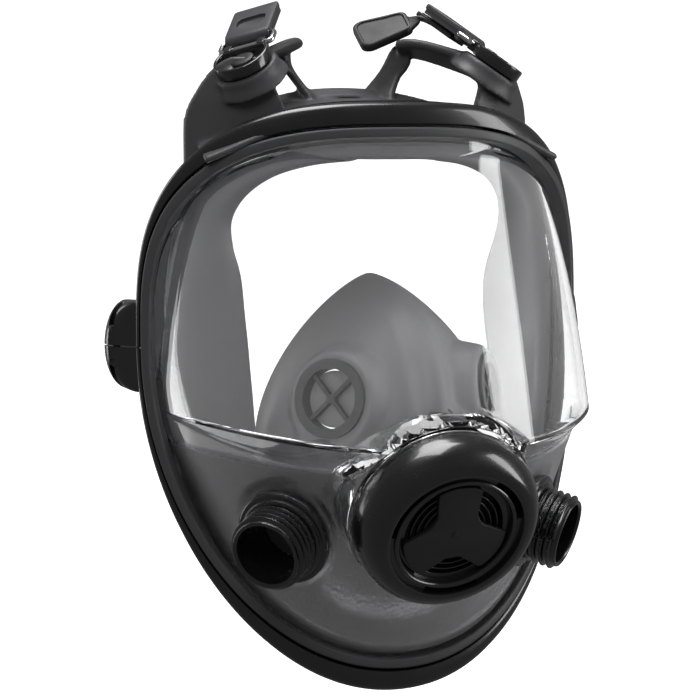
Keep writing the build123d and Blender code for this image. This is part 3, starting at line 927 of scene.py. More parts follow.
@dataclass(frozen=True)
class Seal:
    """The rubber face seal: its rim in the frame and its flange."""

    face_r: float = 95.0
    face_y: float = -74.0
    thick: float = 3.0
    half_width: float = 78.6
    top: float = 89.4
    bottom: float = 124.6
    columns: int = 420
    opening: tuple[tuple[float, float], ...] = (
        (0, 73), (16, 72.6), (30, 71), (42, 67), (50.5, 60), (54.5, 51), (53.5, 41), (50, 28),
        (49, 10), (49, -10), (48, -32), (44, -56), (35, -78), (20, -93), (8, -97.4),
    )
    fold_z: float = 24.0
    fold_height: float = 30.0
    fold: float = 11.0

    def face(self, x: Points) -> Points:
        """Y of the face contact surface."""
        return self.face_y + self.face_r - np.sqrt(np.maximum(self.face_r**2 - x**2, 1))

    def _opening(self) -> Points:
        """Edge of the opening in x and z, all round."""
        right = np.array(self.opening, float)
        left = right[1:][::-1] * (-1, 1)
        return np.concatenate([right, [(0, -98)], left])

    def _edge(self, t: Points) -> Points:
        """Opening edge at the same directions as the ring's angles."""
        path = along(self._opening(), 2400, closed=True)
        heading = np.arctan2(path[:, 0] / 55, (path[:, 1] - 6) / np.where(path[:, 1] > 6, 67, 104))
        heading = np.where(heading < -1e-9, heading + 2 * math.pi, heading)
        order = np.argsort(heading)
        x = np.interp(t, heading[order], path[order, 0], period=2 * math.pi)
        z = np.interp(t, heading[order], path[order, 1], period=2 * math.pi)
        return np.stack([x, z], -1)

    def _outside(self, t: Points) -> tuple[Points, Points]:
        """Outline of the seal behind the ring."""
        c, s = np.cos(t), np.sin(t)
        power = np.where(c > 0, RING.top_power, RING.bottom_power)
        x = self.half_width * np.sign(s) * np.abs(s) ** (2 / power)
        reach = np.where(c > 0, self.top, self.bottom)
        return x, RING.widest_z + reach * np.sign(c) * np.abs(c) ** (2 / power)

    def _section(self, t: Points) -> Points:
        """Every section round the ring, as columns by points by 3."""
        corner_x, corner_z = self._outside(t)
        front = RING.point(t, -0.4, 10.55)
        corner = np.stack([corner_x, self.face(corner_x), corner_z], -1)
        corner[:, 1] = np.maximum(corner[:, 1], front[:, 1] + 3.0)
        edge_xz = self._edge(t)
        edge = np.stack([edge_xz[:, 0], self.face(edge_xz[:, 0]), edge_xz[:, 1]], -1)
        near = np.exp(-((edge[:, 2] - self.fold_z) / self.fold_height) ** 2)
        fold = self.fold * near * ease((np.abs(edge[:, 0]) - 20) / 25)
        edge[:, 1] += fold
        line = [RING.point(t, -15.0, 6.6), RING.point(t, -14.0, 10.0), RING.point(t, -6.0, 10.54), front]
        for share in (0.25, 0.5, 0.75, 0.9):
            line.append(front + (corner - front) * share)
        for share in (0.0, 0.02, 0.06, 0.12, 0.22, 0.34, 0.48, 0.62, 0.76, 0.88, 0.96, 1.0):
            point = corner + (edge - corner) * share
            lift = self.face(point[:, 0]) - (corner[:, 1] + (edge[:, 1] - fold - corner[:, 1]) * share)
            point[:, 1] += np.minimum(lift, 6) * 0.6 - 2.2 * (1 - min(share / 0.12, 1)) ** 2
            line.append(point)
        back = line[-1]
        line.append(back + np.array([0, -1.0, 0]) + (edge - corner) * 0.004)
        inner = RING.point(t, -15.0, 6.6)
        trough = RING.point(t, -18.0, 12.0)
        for share in (0.0, 0.1, 0.25, 0.42, 0.6, 0.76, 0.9):
            rim_side = back + (trough - back) * share
            rim_side[:, 1] -= self.thick * (0.7 + 0.5 * math.sin(math.pi * share))
            line.append(rim_side)
        line.append(trough + (inner - trough) * 0.55 + np.array([0, 0.6, 0]))
        return np.array(line)

    def _body(self) -> bpy.types.Object:
        """The flange that follows the ring."""
        t = RING.even(self.columns)
        draft = Draft()
        draft.grid(self._section(t), around=True, along=True)
        return draft.make("seal_flange", Finish.SEAL, 60)

    def _rim(self) -> bpy.types.Object:
        """The lip that shows between the frame and the lens."""
        t = RING.even(900)
        section = rounded([(-13.1, 5.5), (-13.1, -1.2), (-9.3, -1.2), (-9.3, 5.5)],
                          [0.3, 1.1, 1.1, 0.3], 5)
        draft = Draft()
        draft.grid(np.array([RING.point(t, o, d) for o, d in section]), around=True, along=True)
        return draft.make("seal_rim", Finish.SEAL)

    def build(self) -> None:
        """Make the seal's pieces."""
        dress(self._body(), "mask", "seal_rubber", "face_seal")
        dress(self._rim(), "mask", "seal_rubber")


def remesh(piece: bpy.types.Object, voxel: float, rounds: int, angle: float = 60) -> bpy.types.Object:
    """Melt overlapping solids into one and soften their joints."""
    melt = piece.modifiers.new("melt", "REMESH")
    melt.mode = "VOXEL"
    melt.voxel_size = voxel * MM
    soften = piece.modifiers.new("soften", "SMOOTH")
    soften.factor = 0.5
    soften.iterations = rounds
    return flatten(piece, angle)


def ribbon(draft: Draft, path: Points, sides: Points, half_width: Points, half_thick: Points,
           steps: int = 5) -> None:
    """Strip with rounded edges along a path.

    Args:
        draft: Where the strip goes.
        path: Its middle line.
        sides: The direction of its width at each point.
        half_width: Half its width at each point.
        half_thick: Half its thickness at each point.
        steps: Spans in each rounded edge.
    """
    path = np.asarray(path, float)
    ahead = np.gradient(path, axis=0)
    ahead /= np.linalg.norm(ahead, axis=1)[:, None]
    sides = sides - ahead * np.sum(sides * ahead, axis=1)[:, None]
    sides /= np.linalg.norm(sides, axis=1)[:, None]
    up = np.cross(ahead, sides)
    rows = []
    for point, side, lift, wide, thick in zip(path, sides, up, half_width, half_thick):
        ring = []
        for start, sign in ((-90, 1), (90, -1)):
            for step in range(steps + 1):
                a = math.radians(start + 180 * step / steps)
                across = sign * (wide - thick) + thick * math.cos(a)
                ring.append(point + side * across + lift * thick * math.sin(a))
        rows.append(ring)
    draft.grid(np.array(rows), around=True, caps=True)


def rings(draft: Draft, place: Place, outline: Points, rows: Sequence[tuple[float, float]]) -> None:
    """Closed solid from copies of an outline, each moved in by an inset at a height."""
    outline = np.asarray(outline, float)
    inward = outline.mean(0) - outline
    inward /= np.linalg.norm(inward, axis=1)[:, None]
    grid = [np.column_stack([outline + inward * inset, np.full(len(outline), height)])
            for inset, height in rows]
    grid = place.carry(np.array(grid).reshape(-1, 3)).reshape(len(rows), len(outline), 3)
    draft.grid(grid, around=True, caps=True)


@dataclass(frozen=True)
class Repeat:
    """A shape that is repeated along a line by a geometry node group."""

    count: int
    step: tuple[float, float, float]

    def _group(self, finish: Finish) -> bpy.types.NodeTree:
        """Node group with the shape, the count and the step as inputs."""
        group = bpy.data.node_groups.new("repeat_along_line", "GeometryNodeTree")
        face = group.interface
        face.new_socket("Shape", in_out="INPUT", socket_type="NodeSocketGeometry")
        face.new_socket("Count", in_out="INPUT", socket_type="NodeSocketInt")
        face.new_socket("Step", in_out="INPUT", socket_type="NodeSocketVector")
        face.new_socket("Geometry", in_out="OUTPUT", socket_type="NodeSocketGeometry")
        nodes = group.nodes
        start = nodes.new("NodeGroupInput")
        line = nodes.new("GeometryNodeMeshLine")
        line.mode = "OFFSET"
        place = nodes.new("GeometryNodeInstanceOnPoints")
        real = nodes.new("GeometryNodeRealizeInstances")
        paint = nodes.new("GeometryNodeSetMaterial")
        paint.inputs["Material"].default_value = finish.material()
        end = nodes.new("NodeGroupOutput")
        links = group.links
        links.new(start.outputs["Count"], line.inputs["Count"])
        links.new(start.outputs["Step"], line.inputs["Offset"])
        links.new(line.outputs[0], place.inputs["Points"])
        links.new(start.outputs["Shape"], place.inputs["Instance"])
        links.new(place.outputs[0], real.inputs[0])
        links.new(real.outputs[0], paint.inputs["Geometry"])
        links.new(paint.outputs[0], end.inputs[0])
        return group

    def apply(self, piece: bpy.types.Object, finish: Finish) -> bpy.types.Object:
        """Repeat a piece's mesh and make the result plain."""
        modifier = piece.modifiers.new("repeat", "NODES")
        modifier.node_group = self._group(finish)
        names = {item.name: item.identifier for item in modifier.node_group.interface.items_tree
                 if item.in_out == "INPUT"}
        modifier[names["Count"]] = self.count
        modifier[names["Step"]] = tuple(v * MM for v in self.step)
        return flatten(piece, 40)


@dataclass(frozen=True)
class Cap:
    """The exhalation valve's cover: a domed ring, its louvres and its three-lobed plate."""

    dome: tuple[tuple[float, float], ...] = (
        (34.3, 5.0), (34.0, 8.6), (32.7, 12.4), (30.2, 15.6), (27.4, 16.9), (25.9, 17.0),
    )
    floor: float = 13.2
    louvres: tuple[float, ...] = (11.2, 13.6, 16.0, 18.4)
    lobe_r: float = 19.6
    notch_r: float = 10.2
    turn: float = 94.0

    def _dome(self) -> bpy.types.Object:
        """The domed ring with its outer slots."""
        outer = along(self.dome, 26)
        profile = np.concatenate([
            [(31.3, 0.5), (33.6, 0.5), (34.1, 0.9), (34.3, 1.6)], outer,
            [(25.4, 16.7), (25.3, 16.3), (25.3, 14.9), (23.0, 14.9), (23.0, 15.9)],
            along([(22.8, 16.1), (22.2, 16.4), (21.6, 16.0), (21.1, 15.0), (20.6, self.floor)], 10),
            [(19.0, self.floor), (19.0, 11.4), (24.0, 11.4), (28.5, 10.5), (31.3, 5.0)],
        ])
        draft = Draft()
        lathe(draft, VALVE, profile, 180)
        dome = draft.make("cap_dome", Finish.VALVE, 40)
        for third in range(3):
            draft = Draft()
            start = math.radians(self.turn + 120 * third + 62)
            angle = np.linspace(start - 0.42, start + 0.42, 24)
            inner = np.column_stack([23.0 * np.cos(angle), 23.0 * np.sin(angle)])
            outer_arc = np.column_stack([25.31 * np.cos(angle), 25.31 * np.sin(angle)])[::-1]
            slab(draft, VALVE, np.concatenate([inner, outer_arc]), 9, 16, 1e-4, 1)
            boolean(dome, draft.make("cutter", Finish.VALVE), "DIFFERENCE")
        smooth(dome, 40)
        return dome

    def _grille(self) -> bpy.types.Object:
        """Concentric louvres on three hidden struts, over a dark well."""
        draft = Draft()
        for radius in self.louvres:
            profile = rounded([(radius, 11.6), (radius + 0.9, 11.6), (radius + 0.75, self.floor),
                               (radius + 0.15, self.floor)], 0.25, 3)
            lathe(draft, VALVE, profile, 120)
        for third in range(3):
            angle = math.radians(self.turn + 120 * third)
            way = np.array([math.cos(angle), math.sin(angle)])
            side = np.array([-way[1], way[0]])
            near, far = way * 1.0, way * 20.2
            strut = [near - side * 4, far - side * 5, far + side * 5, near + side * 4]
            slab(draft, VALVE, rounded(strut, 0.5, 2), 11.6, self.floor - 0.1, 0.2)
        return draft.make("cap_grille", Finish.VALVE, 40)

    def _plate(self) -> bpy.types.Object:
        """The three-lobed plate in front of the louvres."""
        corners = []
        for third in range(3):
            middle = self.turn + 120 * third
            for turn, radius in ((-25, self.lobe_r), (-16, self.lobe_r + 0.2), (-6, self.lobe_r + 0.3),
                                 (6, self.lobe_r + 0.3), (16, self.lobe_r + 0.2), (25, self.lobe_r),
                                 (45, self.notch_r + 0.5), (53, self.notch_r), (60, self.notch_r - 0.1),
                                 (67, self.notch_r), (75, self.notch_r + 0.5)):
                a = math.radians(middle + turn)
                corners.append((radius * math.cos(a), radius * math.sin(a)))
        draft = Draft()
        outline = rounded(corners, 1.0, 4)
        slab(draft, VALVE, outline, self.floor, 15.2, 0.45, 4)
        pip = Place(tuple(VALVE.carry([(0, 0, 0)])[0]), VALVE.across, VALVE.out)
        lathe(draft, pip, [(0.01, 15.0), (1.1, 15.0), (1.1, 15.45), (0.7, 15.6), (0.01, 15.6)], 32)
        return draft.make("cap_lobes", Finish.DULL, 40, weld=0.001)

    def build(self) -> None:
        """Make the cover."""
        dress(self._dome(), "valve_cap", "valve_black", "valve_cap")
        dress(self._grille(), "valve_cap", "valve_black")
        dress(self._plate(), "valve_cap", "dull_black", "cap_plate")


@dataclass(frozen=True)
class Connector:
    """A filter connector: flange, hub and threaded spout."""

    side: str
    flange_r: float = 18.0
    root_r: float = 13.2
    crest_r: float = 14.55
    bore_r: float = 11.3
    pitch: float = 2.9
    turns: int = 4

    def build(self) -> None:
        """Make the connector and its thread."""
        place = CONNECTORS[self.side]
        profile = rounded([
            (self.bore_r, -9.0), (12.4, -9.0), (12.4, 0.6), (self.flange_r, 0.6), (self.flange_r, 2.6),
            (17.2, 3.4), (15.9, 3.5), (15.4, 4.4), (14.2, 4.7), (self.root_r, 4.8),
            (self.root_r, 16.2), (12.9, 17.0), (11.9, 17.0), (self.bore_r, 16.3)], 0.35, 3)
        draft = Draft()
        lathe(draft, place, profile, 128)
        body = draft.make(f"connector_body_{self.side}", Finish.VALVE, 40)
        spider = Draft()
        for step in range(3):
            a = math.radians(120 * step + 45)
            way, across = np.array([math.cos(a), math.sin(a)]), np.array([-math.sin(a), math.cos(a)])
            arm = [-across * 0.7, way * 11.6 - across * 0.7, way * 11.6 + across * 0.7, across * 0.7]
            slab(spider, place, rounded(arm, 0.2, 2), -5.4, -3.8, 0.2)
        lathe(spider, place, [(0.01, -5.4), (1.9, -5.4), (1.9, -3.6), (0.01, -3.6)], 32)
        web = spider.make(f"connector_spider_{self.side}", Finish.VALVE, 40, weld=0.001)
        ring = Draft()
        flat = Place((0, 0, 0), (1, 0, 0), (0, 0, 1))
        ridge = [(self.root_r - 0.3, -0.95), (self.root_r, -0.95), (self.crest_r, -0.25),
                 (self.crest_r, 0.25), (self.root_r, 0.95), (self.root_r - 0.3, 0.95)]
        lathe(ring, flat, rounded(ridge, 0.2, 2), 112)
        thread = ring.make(f"connector_thread_{self.side}", Finish.VALVE, 40)
        Repeat(self.turns, (0, 0, self.pitch)).apply(thread, Finish.VALVE)
        count = len(thread.data.vertices)
        points = np.empty(count * 3)
        thread.data.vertices.foreach_get("co", points)
        local = points.reshape(-1, 3) / MM
        lead = np.arctan2(local[:, 1], local[:, 0]) / (2 * math.pi) * 0.9
        local[:, 2] += 5.9 + lead
        thread.data.vertices.foreach_set("co", (place.carry(local) * MM).reshape(-1))
        thread.data.update()
        smooth(thread, 40)
        dress(body, "mask", "valve_black", f"connector_{self.side}")
        dress(web, "mask", "valve_black")
        dress(thread, "mask", "valve_black")


@dataclass(frozen=True)
class NoseCup:
    """The inner cup round the nose and mouth."""

    middle_z: float = -30.0
    rim_y: float = -54.0
    deep: float = 57.0
    wide: float = 46.0
    top: float = 60.0
    foot: float = 70.0
    wall: float = 2.2
    seat_flat: float = 16.4
    seat_blend: float = 21.0
    valve_r: float = 25.6
    valve_drop: float = 6.5

    def _reach(self, angle: Points) -> Points:
        """Distance from the middle to the rim, by angle from straight up."""
        c, s = np.cos(angle), np.abs(np.sin(angle))
        low, high = np.zeros_like(angle), np.full_like(angle, 70.0)
        for _ in range(40):
            r = (low + high) / 2
            z, x = r * c, r * s
            q = np.clip(np.where(z > 0, z / self.top, -z / self.foot), 0, 1)
            half = np.where(z > 0, self.wide * (1 - q**1.7) ** 0.75, self.wide * (1 - q**2.4) ** 0.6)
            inside = (x < half) & (q < 1)
            low = np.where(inside, r, low)
            high = np.where(inside, high, r)
        return low

    def build(self) -> None:
        """Make the cup."""
        angle = np.linspace(0, 2 * math.pi, 220, endpoint=False)
        reach = self._reach(angle)
        reach = (np.roll(reach, 1) + 2 * reach + np.roll(reach, -1)) / 4
        rows = []
        for share in np.sin(np.linspace(0.004, 1, 70) * math.pi / 2):
            x = reach * share * np.sin(angle)
            z = self.middle_z + reach * share * np.cos(angle)
            y = self.rim_y - self.deep * np.sqrt(np.maximum(1 - share**2.6, 0))
            ridge = np.exp(-((np.abs(x) - 6.5) / 3.2) ** 2) * ease((z + 38) / 30) * (1 - share**6)
            y = y - 1.6 * ridge
            rows.append(np.stack([x, y, z], -1))
        grid = np.array(rows)
        for place in CUP_SEATS.values():
            local = place.measure(grid.reshape(-1, 3)).reshape(grid.shape)
            radius = np.hypot(local[..., 0], local[..., 1])
            share = ease((self.seat_blend - radius) / (self.seat_blend - self.seat_flat))
            near = share * (np.abs(local[..., 2]) < 22)
            local[..., 2] += (0.9 - local[..., 2]) * near
            grid = place.carry(local.reshape(-1, 3)).reshape(grid.shape)
        draft = Draft()
        draft.grid(grid, around=True)
        draft.add(grid[0], [list(range(grid.shape[1]))])
        cup = draft.make("inner_cup", Finish.CUP, 60)
        wall = cup.modifiers.new("wall", "SOLIDIFY")
        wall.thickness = self.wall * MM
        wall.offset = -1.0
        flatten(cup)
        lowered = Place(tuple(VALVE.carry([(0, -self.valve_drop, 0)])[0]), VALVE.across, VALVE.out)
        boolean(cup, drum(lowered, self.valve_r, -50, 20), "DIFFERENCE")
        for place in CUP_SEATS.values():
            boolean(cup, drum(place, 12.6, -12, 12), "DIFFERENCE")
        smooth(cup, 50)
        dress(cup, "mask", "cup_rubber", "nose_cup")


@dataclass(frozen=True)
class Buckle:
    """A harness buckle: stud, cup, wire loop, lever and strap end."""

    name: str
    base_r: float = 11.0
    wire_r: float = 1.1
    near: float = 8.0
    far: float = 15.0
    half_loop: float = 10.6
    height: float = 3.6
    lever: float = 20.0
    lever_width: float = 18.6

    @property
    def place(self) -> Place:
        """The buckle's local frame."""
        side = 1 if self.name.endswith("right") else -1
        if self.name.startswith("upper"):
            return Place((side * 50.0, -56.0, 108.0), (-side * 0.446, 0.733, 0.514),
                         (side * 0.50, -0.27, 0.82))
        return Place((side * 56.0, -22.0, -66.0), (-side * 0.25, 0.95, 0.05), (side * 0.90, 0.20, -0.35))

    def _base(self) -> bpy.types.Object:
        """D-shaped cup with two lugs that hold the wire."""
        angle = np.radians(np.linspace(58, 302, 48))
        round_part = np.column_stack([self.base_r * np.cos(angle), self.base_r * np.sin(angle)])
        outline = rounded([*round_part[::3], round_part[-1]], 0.6, 2)
        draft = Draft()
        rings(draft, self.place, outline, [
            (0.5, 0.5), (0.1, 0.7), (0.0, 1.2), (0.0, 4.4), (0.15, 4.85), (0.5, 5.0), (1.2, 5.0),
            (1.5, 4.8), (1.7, 4.3), (1.9, 2.4), (2.3, 2.05), (4.0, 2.0)])
        for y in (-1, 1):
            lug = box_outline((5.4, y * 6.8 - 1.7), (9.9, y * 6.8 + 1.7), 1.2)
            slab(draft, self.place, lug, 0.8, 5.2, 0.5)
        return draft.make(f"buckle_cup_{self.name}", Finish.VALVE, 40, weld=0.0)

    def _stud(self) -> bpy.types.Object:
        """Stud with its oval head."""
        angle = np.linspace(0, 2 * math.pi, 48, endpoint=False)
        oval = np.column_stack([4.4 * np.cos(angle), 4.6 * np.sin(angle)])
        draft = Draft()
        rings(draft, self.place, oval, [(0.3, 2.4), (0.0, 2.6), (0.0, 3.2), (0.4, 3.55), (2.0, 3.6)])
        lathe(draft, self.place, [(0.01, -5.4), (2.2, -5.4), (2.2, 2.6), (0.01, 2.6)], 32)
        foot = rounded([(0.01, -6.6), (5.5, -6.6), (5.5, -5.0), (0.01, -5.0)], 0.3, 2)
        lathe(draft, self.place, foot, 48)
        return draft.make(f"buckle_rivet_{self.name}", Finish.DULL, 40, weld=0.0)

    def _loop(self) -> bpy.types.Object:
        """Wire loop with rounded corners."""
        corners = [(self.near, -self.half_loop), (self.far, -self.half_loop),
                   (self.far, self.half_loop), (self.near, self.half_loop)]
        path = rounded([(x, y, self.height) for x, y in corners], 1.8, 6)
        draft = Draft()
        tube(draft, self.place.carry(path), self.wire_r, 20, closed=True)
        return draft.make(f"buckle_wire_{self.name}", Finish.CHROME, 50)

    def _lever(self) -> bpy.types.Object:
        """Lever with its thumb recess and its knuckle."""
        x = self.far
        half = self.lever_width / 2
        draft = Draft()
        plate = box_outline((x - 0.5, -half), (x + self.lever, half), 1.6)
        slab(draft, self.place, plate, 3.9, 6.2, 0.6)
        body = draft.make(f"buckle_clamp_{self.name}", Finish.LEVER, 40)
        draft = Draft()
        slab(draft, self.place, box_outline((x + 5.6, -6.0), (x + 12.4, 6.0), 3.2), 5.0, 8.0, 0.3)
        boolean(body, draft.make("cutter", Finish.LEVER), "DIFFERENCE")
        draft = Draft()
        for y in (-1, 1):
            middle = y * (half - 1.0)
            cheek = box_outline((x + 0.5, middle - 0.8), (x + self.lever - 1, middle + 0.8), 0.6)
            slab(draft, self.place, cheek, 2.3, 4.6, 0.3)
        bar = Place(tuple(self.place.carry([(x, 0, self.height)])[0]), tuple(self.place.basis()[0]),
                    tuple(self.place.basis()[1]))
        bore, end = self.wire_r + 0.06, half - 0.4
        knuckle = rounded([(bore, -end), (2.6, -end), (2.6, end), (bore, end)], 0.3, 2)
        lathe(draft, bar, knuckle, 40)
        side = draft.make("sides", Finish.LEVER, 40)
        boolean(body, side, "UNION")
        smooth(body, 40)
        return body

    def _strap(self) -> tuple[bpy.types.Object, bpy.types.Object]:
        """Strap end and the cross ribs on it."""
        x = self.far + 4.5
        draft = Draft()
        length = 21 if self.name == "upper_left" else 19
        slab(draft, self.place, box_outline((x, -6.2), (x + length, 6.2), 1.0), -0.35, 1.55, 0.4)
        if self.name == "upper_right":
            elbow = self.place.carry([(self.far + 23, 0, 0.6)])[0]
            run = np.array([-0.90, 0.22, -0.30])
            run /= np.linalg.norm(run)
            wide = np.cross(run, (-0.384, -0.53, 0.743))
            near = self.place.basis()[1]
            path = along([self.place.carry([(self.far + 18, 0, 0.6)])[0], elbow + run * 1.5,
                          elbow + run * 5.5, elbow + run * 9], 14)
            share = np.linspace(0, 1, 14)[:, None]
            sides = near * (1 - share) + wide * (share if near @ wide >= 0 else -share)
            ribbon(draft, path, sides, np.linspace(6.2, 6.8, 14), np.full(14, 1.0))
            tab = Place(tuple(elbow + run * 6), tuple(run), (-0.384, -0.53, 0.743))
            edge = [(0, 5.6), (5, 6.6), (19, 8.5), (22, 6.5)]
            outline = rounded([(u, -v) for u, v in edge] + edge[::-1], 2.6, 5)
            rings(draft, tab, outline, [(0.8, -1.9), (0.2, -1.5), (0.0, -0.9), (0.0, 0.9), (0.2, 1.5),
                                        (0.8, 1.9), (1.6, 1.9), (1.9, 1.5), (2.1, 1.3), (4.0, 1.3)])
        strap = draft.make(f"strap_end_{self.name}", Finish.STRAP, 40, weld=0.0)
        rib = Draft()
        flat = Place((0, 0, 0), (1, 0, 0), (0, 0, 1))
        slab(rib, flat, box_outline((-0.45, -5.6), (0.45, 5.6), 0.3), 0.0, 0.55, 0.2, 2)
        ribs = rib.make(f"strap_ribs_{self.name}", Finish.STRAP, 40)
        Repeat(11, (1.5, 0, 0)).apply(ribs, Finish.STRAP)
        points = np.empty(len(ribs.data.vertices) * 3)
        ribs.data.vertices.foreach_get("co", points)
        local = points.reshape(-1, 3) / MM + (x + 1.6, 0, 1.4)
        ribs.data.vertices.foreach_set("co", (self.place.carry(local) * MM).reshape(-1))
        ribs.data.update()
        return strap, ribs

    def build(self) -> None:
        """Make the buckle."""
        dress(self._base(), f"base_{self.name}", "valve_black", f"buckle_base_{self.name}")
        dress(self._stud(), "mask", "steel", f"buckle_stud_{self.name}")
        dress(self._loop(), f"loop_{self.name}", "wire_chrome", f"buckle_loop_{self.name}")
        dress(self._lever(), f"lever_{self.name}", "lever_grey", f"buckle_lever_{self.name}")
        if self.name.startswith("upper"):
            strap, ribs = self._strap()
            dress(strap, f"loop_{self.name}", "strap_rubber", f"strap_{self.name}")
            dress(ribs, f"loop_{self.name}", "strap_rubber")


@dataclass(frozen=True)
class Ears:
    """The seal's upper ears with their pads, horns and webs, and the lower pads."""

    voxel: float = 0.8
    rounds: int = 7
    flap: tuple[tuple[float, float, float], ...] = (
        (66, 64, 70), (76, 52, 70), (84, 40, 70), (90, 37.5, 69.5), (95, 39, 68), (100, 41, 65.5),
        (105, 42, 62.5), (109, 43.5, 59), (111.5, 46, 55),
    )
    rear_edge: tuple[tuple[float, float, float], ...] = (
        (60, -47, 80), (42, -36, 90), (22, -29, 96), (0, -27, 98),
    )
    forehead: tuple[tuple[float, float, float], ...] = (
        (66, -48, 78), (44, -54, 87), (22, -56.5, 91.5), (0, -57.5, 92.6),
    )

    def _mirror(self, points: Sequence[Sequence[float]], side: int) -> Points:
        """Points on one side of the mask."""
        return np.array(points, float) * (side, 1, 1)

    def _ear(self, draft: Draft, side: int) -> None:
        """One upper ear."""
        rows = []
        for z, inner, outer in along(self.flap, 40):
            x = np.linspace(inner, outer, 16)
            y = SEAL.face(x) + 0.4 + max(z - 95, 0) * 0.12
            front = np.stack([side * x, y - 1.7, np.full(16, float(z))], -1)
            back = np.stack([side * x, y + 1.9, np.full(16, float(z))], -1)[::-1]
            rows.append(np.concatenate([front, back]))
        draft.grid(np.array(rows), around=True, caps=True)
        place = Buckle("upper_right" if side > 0 else "upper_left").place
        lathe(draft, place, rounded([(0.01, -7.5), (15.0, -7.5), (12.6, -3.2), (12.4, 0.0), (0.01, 0.0)],
                                    0.8, 3), 48)
        horn = along(self._mirror([(58, -48, 103), (48, -46, 108), (38, -40.5, 112), (29, -35, 115),
                                   (21.5, -29.5, 116)], side), 24)
        widths = np.interp(np.linspace(0, 1, 24), [0, 0.5, 0.85, 1], [11, 8.5, 7.5, 5.0])
        across = np.tile(np.array([side * 0.42, 0.80, -0.36]), (24, 1))
        ribbon(draft, horn, across, widths, np.full(24, 1.9))
        web = along(self._mirror([(24.5, -28, 114), (22, -24.5, 108), (17.5, -25, 101.5), (13, -27, 96)],
                                 side), 20)
        across = np.tile(np.array([side * 0.46, -0.87, 0.12]), (20, 1))
        ribbon(draft, web, across, np.interp(np.linspace(0, 1, 20), [0, 0.5, 1], [5.5, 6.5, 10]),
               np.full(20, 1.5))

    def _flange(self, draft: Draft) -> None:
        """Rear skirt of the forehead that both webs stand on."""
        strips = ((self.rear_edge, (0, -0.93, -0.36), 5.0, 1.3), (self.forehead, (0, 0.99, 0.10), 25.0, 1.4))
        for half, across, wide, thick in strips:
            line = [(-x, y, z) for x, y, z in half] + list(half[-2::-1])
            sides = np.tile(np.array(across), (60, 1))
            ribbon(draft, along(line, 60), sides, np.full(60, wide), np.full(60, thick))

    def build(self) -> None:
        """Make the ears and the lower pads."""
        draft = Draft()
        for side in (-1, 1):
            self._ear(draft, side)
        self._flange(draft)
        ears = draft.make("seal_ears", Finish.SEAL, 60, weld=0.0)
        remesh(ears, self.voxel, self.rounds)
        dress(ears, "mask", "seal_rubber")
        draft = Draft()
        for name in ("lower_left", "lower_right"):
            place = Buckle(name).place
            pad = [(0.01, -6.5), (13.5, -6.5), (12.5, -3.0), (12.4, 0.0), (0.01, 0.0)]
            lathe(draft, place, rounded(pad, 0.8, 3), 48)
            arm = place.carry([(-36, 0, -4.2), (-22, 0, -3.6), (-8, 0, -3.2), (0, 0, -3.2)])
            sides = np.tile(place.basis()[1], (16, 1))
            ribbon(draft, along(arm, 16), sides, np.full(16, 9.0), np.full(16, 1.7))
        pads = draft.make("seal_lower_pads", Finish.SEAL, 60, weld=0.0)
        remesh(pads, self.voxel, self.rounds)
        dress(pads, "mask", "seal_rubber")


SEAL = Seal()


